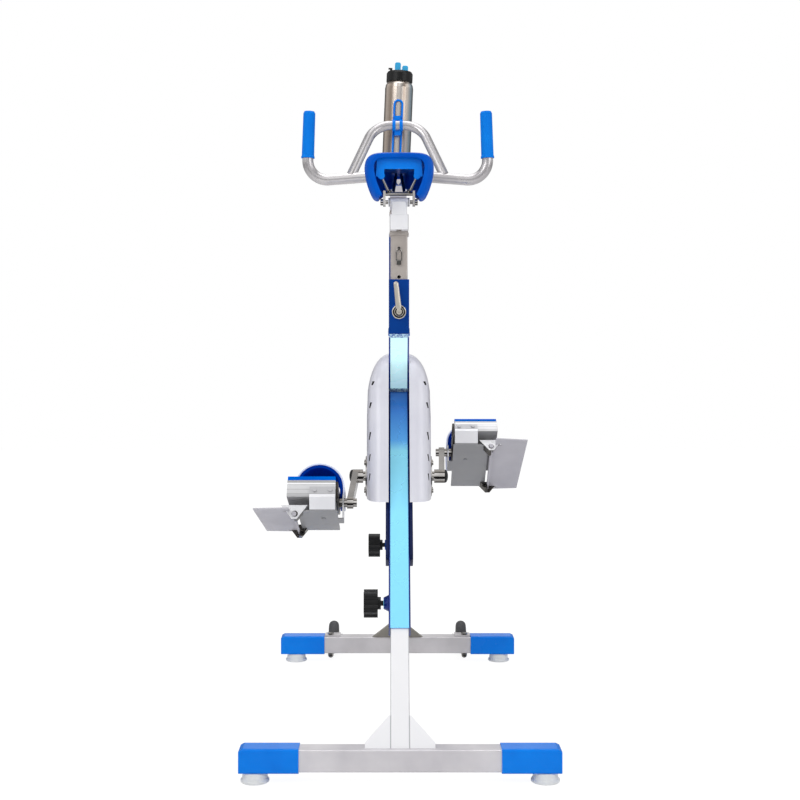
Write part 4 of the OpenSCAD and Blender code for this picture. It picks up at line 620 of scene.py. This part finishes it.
def bead_tree():
    """Geometry nodes that lay overlapping weld beads along an edge chain."""
    tree = bpy.data.node_groups.new("weld_beads", "GeometryNodeTree")
    tree.interface.new_socket("Geometry", in_out="INPUT", socket_type="NodeSocketGeometry")
    for label, value in (("Spacing", 0.002), ("Radius", 0.0022)):
        tree.interface.new_socket(label, in_out="INPUT", socket_type="NodeSocketFloat").default_value = value
    tree.interface.new_socket("Finish", in_out="INPUT", socket_type="NodeSocketMaterial")
    tree.interface.new_socket("Geometry", in_out="OUTPUT", socket_type="NodeSocketGeometry")
    start, end = tree.nodes.new("NodeGroupInput"), tree.nodes.new("NodeGroupOutput")
    path = tree.nodes.new("GeometryNodeMeshToCurve")
    dots = tree.nodes.new("GeometryNodeCurveToPoints")
    dots.mode = "LENGTH"
    bead = tree.nodes.new("GeometryNodeMeshIcoSphere")
    bead.inputs["Subdivisions"].default_value = 2
    vary = tree.nodes.new("FunctionNodeRandomValue")
    vary.inputs[2].default_value = 0.88
    vary.inputs[3].default_value = 1.12
    vary.inputs["Seed"].default_value = 7
    place = tree.nodes.new("GeometryNodeInstanceOnPoints")
    realize = tree.nodes.new("GeometryNodeRealizeInstances")
    paint = tree.nodes.new("GeometryNodeSetMaterial")
    smooth = tree.nodes.new("GeometryNodeSetShadeSmooth")
    link = tree.links.new
    link(start.outputs["Geometry"], path.inputs["Mesh"])
    link(path.outputs["Curve"], dots.inputs["Curve"])
    link(start.outputs["Spacing"], dots.inputs["Length"])
    link(start.outputs["Radius"], bead.inputs["Radius"])
    link(dots.outputs["Points"], place.inputs["Points"])
    link(bead.outputs["Mesh"], place.inputs["Instance"])
    link(vary.outputs[1], place.inputs["Scale"])
    link(place.outputs["Instances"], realize.inputs["Geometry"])
    link(realize.outputs["Geometry"], smooth.inputs["Geometry"])
    link(smooth.outputs["Geometry"], paint.inputs["Geometry"])
    link(start.outputs["Finish"], paint.inputs["Material"])
    link(paint.outputs["Geometry"], end.inputs["Geometry"])
    return tree


def run_nodes(obj, tree, values):
    """Runs a geometry node tree on the object and keeps what it makes as a plain mesh."""
    step = obj.modifiers.new("made_by_nodes", "NODES")
    step.node_group = tree
    for item in tree.interface.items_tree:
        if item.in_out == "INPUT" and item.name in values:
            step[item.identifier] = values[item.name]
    bake_modifiers(obj)


BEADS = bead_tree()


def weld(name, body, runs, mat, radius=0.0021):
    """Weld beads along open runs of points."""
    mesh = bpy.data.meshes.new(name)
    verts, edges = [], []
    for run in runs:
        edges += [(len(verts) + i, len(verts) + i + 1) for i in range(len(run) - 1)]
        verts += [tuple(p) for p in run]
    mesh.from_pydata(verts, edges, [])
    obj = new_object(name, mesh)
    run_nodes(obj, BEADS, {"Spacing": radius * 0.85, "Radius": radius, "Finish": mat})
    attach(obj, body)
    return obj


def repeat(name, body, template, places, mat, size=1.0):
    """Copies of the template at (place, aim) pairs."""
    mesh = bpy.data.meshes.new(name)
    mesh.from_pydata([tuple(p) for p, _ in places], [], [])
    aims = mesh.attributes.new("aim", "FLOAT_VECTOR", "POINT")
    aims.data.foreach_set("vector", [c for _, a in places for c in a])
    obj = new_object(name, mesh)
    run_nodes(obj, template, {"Size": size, "Finish": mat})
    smooth_by_angle(obj, 35)
    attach(obj, body)
    return obj


def turned_mesh(name, profile, sides=32):
    """A closed form turned about Z from (radius, height) pairs that start and end on the axis."""
    work = bmesh.new()
    rings = []
    for r, z in profile:
        if r < 1e-9:
            rings.append([work.verts.new((0, 0, z))])
        else:
            rings.append([work.verts.new((r * math.cos(a), r * math.sin(a), z)) for a in circle(sides)])
    for low, up in zip(rings, rings[1:]):
        for i in range(sides):
            j = (i + 1) % sides
            if len(low) == 1:
                work.faces.new((low[0], up[j], up[i]))
            elif len(up) == 1:
                work.faces.new((low[i], low[j], up[0]))
            else:
                work.faces.new((low[i], low[j], up[j], up[i]))
    return mesh_of(name, work)


def screw_mesh(name, r, h, socket_r, socket_h):
    """A domed screw head with a round edge and a socket."""
    return turned_mesh(name, [(0, 0), (r * 0.94, 0), (r, h * 0.12), (r * 0.97, h * 0.45), (r * 0.8, h * 0.85),
                              (r * 0.55, h), (socket_r, h), (socket_r * 0.95, h - socket_h), (0, h - socket_h)], 24)


# Straps, made as two bands that lie on each other


def pedal_point(side, x, forward, up):
    origin, ahead, above = pedal_frame(side)
    return origin + Vector((side * x, 0, 0)) + ahead * forward + above * up


def pedal_body(side):
    return "left_pedal" if side < 0 else "right_pedal"


def strap_band(name, side, r0, r1, back, front, mat):
    """One band of a foot strap: an arch with a leg down beside the pedal body."""
    foot = 0.0006
    path = [(math.cos(a), math.sin(a)) for a in (math.pi * i / 40 for i in range(41))]
    rows = [(x * r0, strap_seat + w * r0, x * r1, strap_seat + w * r1) for x, w in path]
    legs = [strap_seat + (foot - strap_seat) * k / 4 for k in range(1, 5)]
    rows += [(-r0, w, -r1, w) for w in legs]
    work = bmesh.new()
    loops = []
    for x0, w0, x1, w1 in rows:
        corners = [(x0, w0, back), (x1, w1, back), (x1, w1, front), (x0, w0, front)]
        loops.append([work.verts.new(pedal_point(side, strap_x + x, f, w)) for x, w, f in corners])
    skin(work, loops)
    obj = new_object(name, mesh_of(name, work))
    set_material(obj, mat)
    round_edges(obj, 0.0007)
    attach(obj, pedal_body(side))
    return obj


def make_strap(side):
    name = "left" if side < 0 else "right"
    outer = strap_band("strap_outer_" + name, side, 0.0476, 0.0510, 0.0010, 0.0750, strap_outer)
    strap_band("strap_inner_" + name, side, 0.0415, 0.04745, 0.0022, 0.0738, strap_inner)
    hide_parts("strap_" + name)


def make_end_plate(side):
    """A closing plate on the inner end of a pedal body."""
    outline = [(-0.0825, 0.0215), (-0.0790, -0.0125), (0.0510, -0.0125), (0.0585, -0.0050), (0.0585, 0.0215)]
    work = bmesh.new()
    skin(work, [[work.verts.new(pedal_point(side, x, f, w)) for f, w in outline]
                for x in (pedal_end_in, pedal_end_out)])
    obj = new_object("pedal_end_" + ("left" if side < 0 else "right"), mesh_of("pedal_end", work))
    set_material(obj, dark_steel)
    round_edges(obj, 0.0012)
    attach(obj, pedal_body(side))


for side in (-1, 1):
    make_strap(side)
for side in (-1, 1):
    make_end_plate(side)

# Saddle, a moulded cushion on a shell

WIDTHS = [(0, 0.84), (0.03, 0.94), (0.1, 1.0), (0.28, 0.97), (0.42, 0.76), (0.55, 0.52),
          (0.70, 0.38), (0.88, 0.32), (0.97, 0.26), (1, 0.2)]
CROWN = [(0, -4), (0.05, 0), (0.2, 0), (0.4, -7), (0.65, -8), (0.88, -3), (0.97, -7), (1, -14)]
saddle_curl = math.radians(138)
curl_start = 1.3
skin_wall, edge_wall = 0.009, 0.008
SIDES = [(0, 84), (0.05, 94), (0.2, 96), (0.35, 80), (0.5, 56), (0.75, 40), (0.95, 32), (1, 22)]


def table_value(t, table):
    for (t0, v0), (t1, v1) in zip(table, table[1:]):
        if t <= t1:
            k = (t - t0) / (t1 - t0)
            return v0 + (v1 - v0) * k
    return table[-1][1]


def saddle_point(t, a, wall):
    """A point of the saddle's skin at a share of its length, an angle round it and a depth below the skin."""
    low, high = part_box("saddle")
    half = 0.0705 * table_value(t, WIDTHS) - wall
    drop = (table_value(t, SIDES) / 1000 - wall) * ((1 - math.cos(a)) / (1 - math.cos(saddle_curl))) ** 2
    top = high[2] + table_value(t, CROWN) / 1000 - wall
    side = math.copysign(abs(math.sin(a)) ** 0.8, a)
    return (half * side, low[1] + (high[1] - low[1]) * t, top - drop)


def make_saddle():
    """One closed cushion: an outer and an inner skin that meet at a thicker rim."""
    spans, cols = 18, 28
    ts = [0.0, 0.012, 0.03, 0.06] + [0.1 + 0.84 * i / spans for i in range(spans + 1)] + [0.965, 0.985, 1.0]
    turns = [-saddle_curl + 2 * saddle_curl * j / cols for j in range(cols + 1)]
    thicker = [edge_wall * max(0.0, (abs(a) - curl_start) / (saddle_curl - curl_start)) for a in turns]
    work = bmesh.new()
    skins = []
    for walls in ([0.0] * len(turns), [skin_wall + more for more in thicker]):
        skins.append([[work.verts.new(saddle_point(t, a, w)) for a, w in zip(turns, walls)] for t in ts])
    outer, inner = skins
    n = len(ts)
    for i in range(n - 1):
        for j in range(cols):
            work.faces.new((outer[i][j], outer[i][j + 1], outer[i + 1][j + 1], outer[i + 1][j]))
            work.faces.new((inner[i][j], inner[i + 1][j], inner[i + 1][j + 1], inner[i][j + 1]))
        for j in (0, cols):
            work.faces.new((outer[i][j], outer[i + 1][j], inner[i + 1][j], inner[i][j]))
    for i in (0, n - 1):
        for j in range(cols):
            work.faces.new((outer[i][j], inner[i][j], inner[i][j + 1], outer[i][j + 1]))
    obj = new_object("saddle_cushion", mesh_of("saddle_cushion", work))
    set_material(obj, saddle_blue)
    step = obj.modifiers.new("smooth_form", "SUBSURF")
    step.levels = 2
    step.render_levels = 2
    bake_modifiers(obj)
    obj.data.shade_smooth()
    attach(obj, "seat")
    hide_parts("saddle")


make_saddle()

# Brackets with their screws


def make_brackets():
    """The triangular wing brackets, each with a ring and a screw over the rod's end."""
    screw = screw_mesh("screw_head", 0.0040, 0.0022, 0.0018, 0.0016)
    disc = turned_mesh("screw_ring", [(0, 0), (0.0056, 0), (0.0060, 0.0005), (0.0056, 0.0010), (0, 0.0010)], 28)
    head = repeat_tree("screw_heads", new_object("screw_head", screw))
    ring = repeat_tree("screw_rings", new_object("screw_ring", disc))
    for side, label in ((-1, "left"), (1, "right")):
        axle, ahead, above = pedal_frame(side)
        obj = softened("wing_brackets_" + label, bright_steel, 0.0006)
        obj.data.materials.append(dark_steel)
        reach = [v.co.dot(ahead) for v in obj.data.vertices]
        middle = (max(reach) + min(reach)) / 2
        spots = []
        for near in (True, False):
            chosen = [f for f in obj.data.polygons
                      if f.normal.dot(ahead) < -0.9 and (f.center.dot(ahead) < middle) == near]
            edge = min((f.center.dot(ahead) for f in chosen), default=0)
            chosen = [f for f in chosen if f.center.dot(ahead) < edge + 0.0012]
            area = sum(f.area for f in chosen) or 1
            centre = sum((f.center * f.area for f in chosen), Vector()) / area
            spots.append((centre - ahead * 0.0001, tuple(-ahead)))
        # Painted shade: faces of the far half and faces that don't look backwards take the shaded steel, beside the
        # bright steel of the lit faces.
        for face in obj.data.polygons:
            if face.center.dot(ahead) > middle or face.normal.dot(ahead) > -0.8:
                face.material_index = 1
        body = pedal_body(side)
        repeat("bracket_rings_" + label, body, ring, spots, dark_steel)
        repeat("bracket_screws_" + label, body, head, [(Vector(p) - ahead * 0.0009, a) for p, a in spots], black_steel)
    for tree in (head, ring):
        for node in tree.nodes:
            if node.type == "OBJECT_INFO":
                bpy.data.objects.remove(node.inputs["Object"].default_value)


make_brackets()

# Clamp levers


def make_lever(node, back):
    """A cast lever with its cup washer and a socket screw, behind or ahead of its tube."""
    low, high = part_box(node)
    way = -1 if back else 1
    face = low[1] if back else high[1]
    tube = saddle_y if back else bar_tube_y
    pivot = Vector((0, tube + way * (beam_half + 0.0030), low[2] + 0.014))
    lean = math.tan(math.radians(6))
    outer = abs(face - pivot.y)
    middle = pivot.y + way * (outer - 0.0042)
    steps = 28
    work = bmesh.new()
    loops = []
    for k in range(steps + 1):
        t = 1 - (1 - k / steps) ** 2
        up = -0.004 + 0.066 * t
        tip = math.sqrt(max(0.001, 1 - max(0.0, (t - 0.93) / 0.07) ** 2))
        round_end = tip * math.sqrt(max(0.1, min(1.0, t / 0.06 + 0.1)))
        half, deep = (0.0062 - 0.0012 * t) * round_end, 0.0036 * round_end
        loops.append([work.verts.new((-up * lean + half * math.cos(a), middle + deep * math.sin(a), pivot.z + up))
                      for a in circle(20)])
    skin(work, loops)
    arm = new_object(node + "_arm", mesh_of(node + "_arm", work))
    set_material(arm, lever_silver)
    smooth_by_angle(arm, 50)
    cup = turned_mesh(node + "_cup", [
        (0, 0), (0.0140, 0), (0.0146, 0.0008), (0.0144, 0.0030), (0.0128, 0.0040), (0.0118, 0.0034), (0.0104, 0.0034),
        (0.0098, 0.0042), (0.0096, outer - 0.0030), (0.0086, outer - 0.0016), (0.0058, outer - 0.0012),
        (0.0054, outer - 0.0004), (0.0042, outer), (0.0024, outer), (0.0022, outer - 0.0022), (0, outer - 0.0022)], 40)
    cup.transform(Matrix.Translation(pivot) @ Matrix.Rotation(math.radians(90 * -way), 4, "X"))
    washer = new_object(node + "_cup", cup)
    set_material(washer, lever_silver)
    # Painted shade: the cup's groove, a ring on its face and the screw's socket take the shaded steel.
    washer.data.materials.append(dark_steel)
    for part in washer.data.polygons:
        r = math.hypot(part.center.x, part.center.z - pivot.z)
        if 0.0096 < r < 0.0126 or r < 0.0023 or 0.0058 < r < 0.0086:
            part.material_index = 1
    smooth_by_angle(washer, 40)
    for obj in (arm, washer):
        ride_for(obj, node)
    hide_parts(node)


make_lever("saddle_lever", True)
make_lever("handlebar_lever", False)

# Weld beads on the frame


def across(y, z, half=0.0205):
    """A run of points over the full width of a beam."""
    return [(x * half / 5, y, z) for x in range(-5, 6)]


def make_welds():
    turn = front_lean / 2
    back, front = saddle_y - beam_half - 0.0006, saddle_y + beam_half + 0.0006
    z0 = mitre_z - beam_half * math.tan(turn)
    z1 = mitre_z + beam_half * math.tan(turn)
    side = beam_half - 0.0004
    weld("weld_saddle_tube_back", "frame", [across(back, z0, 0.0185), across(back, z0 - 0.0030, 0.0180)],
         weld_painted_glints, 0.0025)
    ring = [across(front, z1)]
    ring += [[(s * side, back + (front - back) * i / 8, z0 + (z1 - z0) * i / 8) for i in range(9)] for s in (-1, 1)]
    weld("weld_saddle_tube", "frame", ring, anodised, 0.0017)
    corner = Vector((0, cross_y - 0.0255, cross_z - 0.0005))
    up = Vector((0, math.sin(rear_lean), math.cos(rear_lean)))
    weld("weld_strut_back", "frame", [across(corner.y - 0.0008, corner.z + 0.0010, 0.0185),
                                      across(corner.y - 0.0030, corner.z + 0.0045, 0.0175)], weld_painted_glints, 0.0027)
    runs = []
    far = corner + up * 0.0447
    runs += [[(s * side, corner.y + (far.y - corner.y) * i / 10, corner.z + (far.z - corner.z) * i / 10)
              for i in range(11)] for s in (-1, 1)]
    runs.append(across(far.y, far.z + 0.001))
    weld("weld_strut", "frame", runs, anodised, 0.0017)


make_welds()

# Stage, light and camera

scene = bpy.context.scene


def make_floor():
    bpy.ops.mesh.primitive_plane_add(size=14, location=(0, 0, -0.0002))
    floor = bpy.context.object
    floor.name = "studio_floor"
    mat = bpy.data.materials.new("studio_floor")
    mat.use_nodes = True
    tree = mat.node_tree
    tree.nodes.clear()
    out = add(tree, "ShaderNodeOutputMaterial")
    plain = add(tree, "ShaderNodeBsdfDiffuse")
    plain.inputs["Color"].default_value = (0.86, 0.86, 0.86, 1)
    glow = add(tree, "ShaderNodeEmission")
    path = add(tree, "ShaderNodeLightPath")
    glow.inputs["Strength"].default_value = 1.12
    part = maths(tree, "MULTIPLY", path.outputs["Is Camera Ray"], 0.84)
    mix = add(tree, "ShaderNodeMixShader")
    tree.links.new(part, mix.inputs["Fac"])
    tree.links.new(plain.outputs[0], mix.inputs[1])
    tree.links.new(glow.outputs[0], mix.inputs[2])
    tree.links.new(mix.outputs[0], out.inputs["Surface"])
    set_material(floor, mat)


def greys(stops):
    return [(place, (value, value, value, 1)) for place, value in stops]


def make_world():
    """White for the camera, and a soft room with bright walls and a dim middle for reflections."""
    world = bpy.data.worlds.new("studio")
    scene.world = world
    world.use_nodes = True
    tree = world.node_tree
    tree.nodes.clear()
    link = tree.links.new
    out = add(tree, "ShaderNodeOutputWorld")
    backdrop = add(tree, "ShaderNodeBackground", Strength=1.0)
    backdrop.inputs["Color"].default_value = (1, 1, 1, 1)
    soft = add(tree, "ShaderNodeBackground", Strength=0.62)
    soft.inputs["Color"].default_value = (1, 1, 1, 1)
    room = add(tree, "ShaderNodeBackground")
    room.inputs["Color"].default_value = (1, 1, 1, 1)
    way = parts_of(tree, add(tree, "ShaderNodeTexCoord").outputs["Generated"])
    levels = [(0.0, 0.45), (0.36, 0.8), (0.43, 0.5), (0.45, 0.06), (0.50, 0.05), (0.53, 0.75), (0.70, 1.0), (1.0, 1.2)]
    walls = [(0.0, 0.95), (0.12, 0.9), (0.26, 0.22), (0.62, 0.16), (0.80, 1.0), (1.0, 0.8)]
    level = ramp_of(tree, span_of(tree, way["Z"], -1.0, 1.0), greys(levels))
    wall = ramp_of(tree, maths(tree, "ABSOLUTE", way["X"]), greys(walls))
    link(maths(tree, "MULTIPLY", level, wall), room.inputs["Strength"])
    path = add(tree, "ShaderNodeLightPath")
    clear = maths(tree, "MAXIMUM", path.outputs["Is Camera Ray"], path.outputs["Is Transmission Ray"])
    first = add(tree, "ShaderNodeMixShader")
    link(path.outputs["Is Glossy Ray"], first.inputs["Fac"])
    link(soft.outputs[0], first.inputs[1])
    link(room.outputs[0], first.inputs[2])
    last = add(tree, "ShaderNodeMixShader")
    link(clear, last.inputs["Fac"])
    link(first.outputs[0], last.inputs[1])
    link(backdrop.outputs[0], last.inputs[2])
    link(last.outputs[0], out.inputs["Surface"])


def add_lamp(name, place, target, size, power):
    data = bpy.data.lights.new(name, "AREA")
    data.shape = "SQUARE"
    data.size = size
    data.energy = power
    lamp = bpy.data.objects.new(name, data)
    lamp.location = place
    lamp.rotation_euler = (Vector(target) - Vector(place)).to_track_quat("-Z", "Y").to_euler()
    scene.collection.objects.link(lamp)


make_floor()
make_world()
add_lamp("key_light", (-1.9, -2.4, 2.9), (0, 0, 0.7), 1.6, 34)
add_lamp("fill_light", (2.3, -2.2, 2.0), (0, 0, 0.7), 1.8, 22)
add_lamp("top_light", (0.0, 0.6, 3.4), (0, 0, 0.6), 2.0, 24)

camera_data = bpy.data.cameras.new("photo_camera")
camera_data.sensor_width = 36
camera_data.lens = 57.87
camera_data.shift_x = 0.0116
camera_data.shift_y = -0.065
camera = bpy.data.objects.new("photo_camera", camera_data)
camera.location = (-0.017, -2.8111, 0.781)
camera.rotation_euler = (math.radians(90), 0, 0)
scene.collection.objects.link(camera)
scene.camera = camera
scene.view_settings.view_transform = "Standard"

bpy.context.view_layer.update()
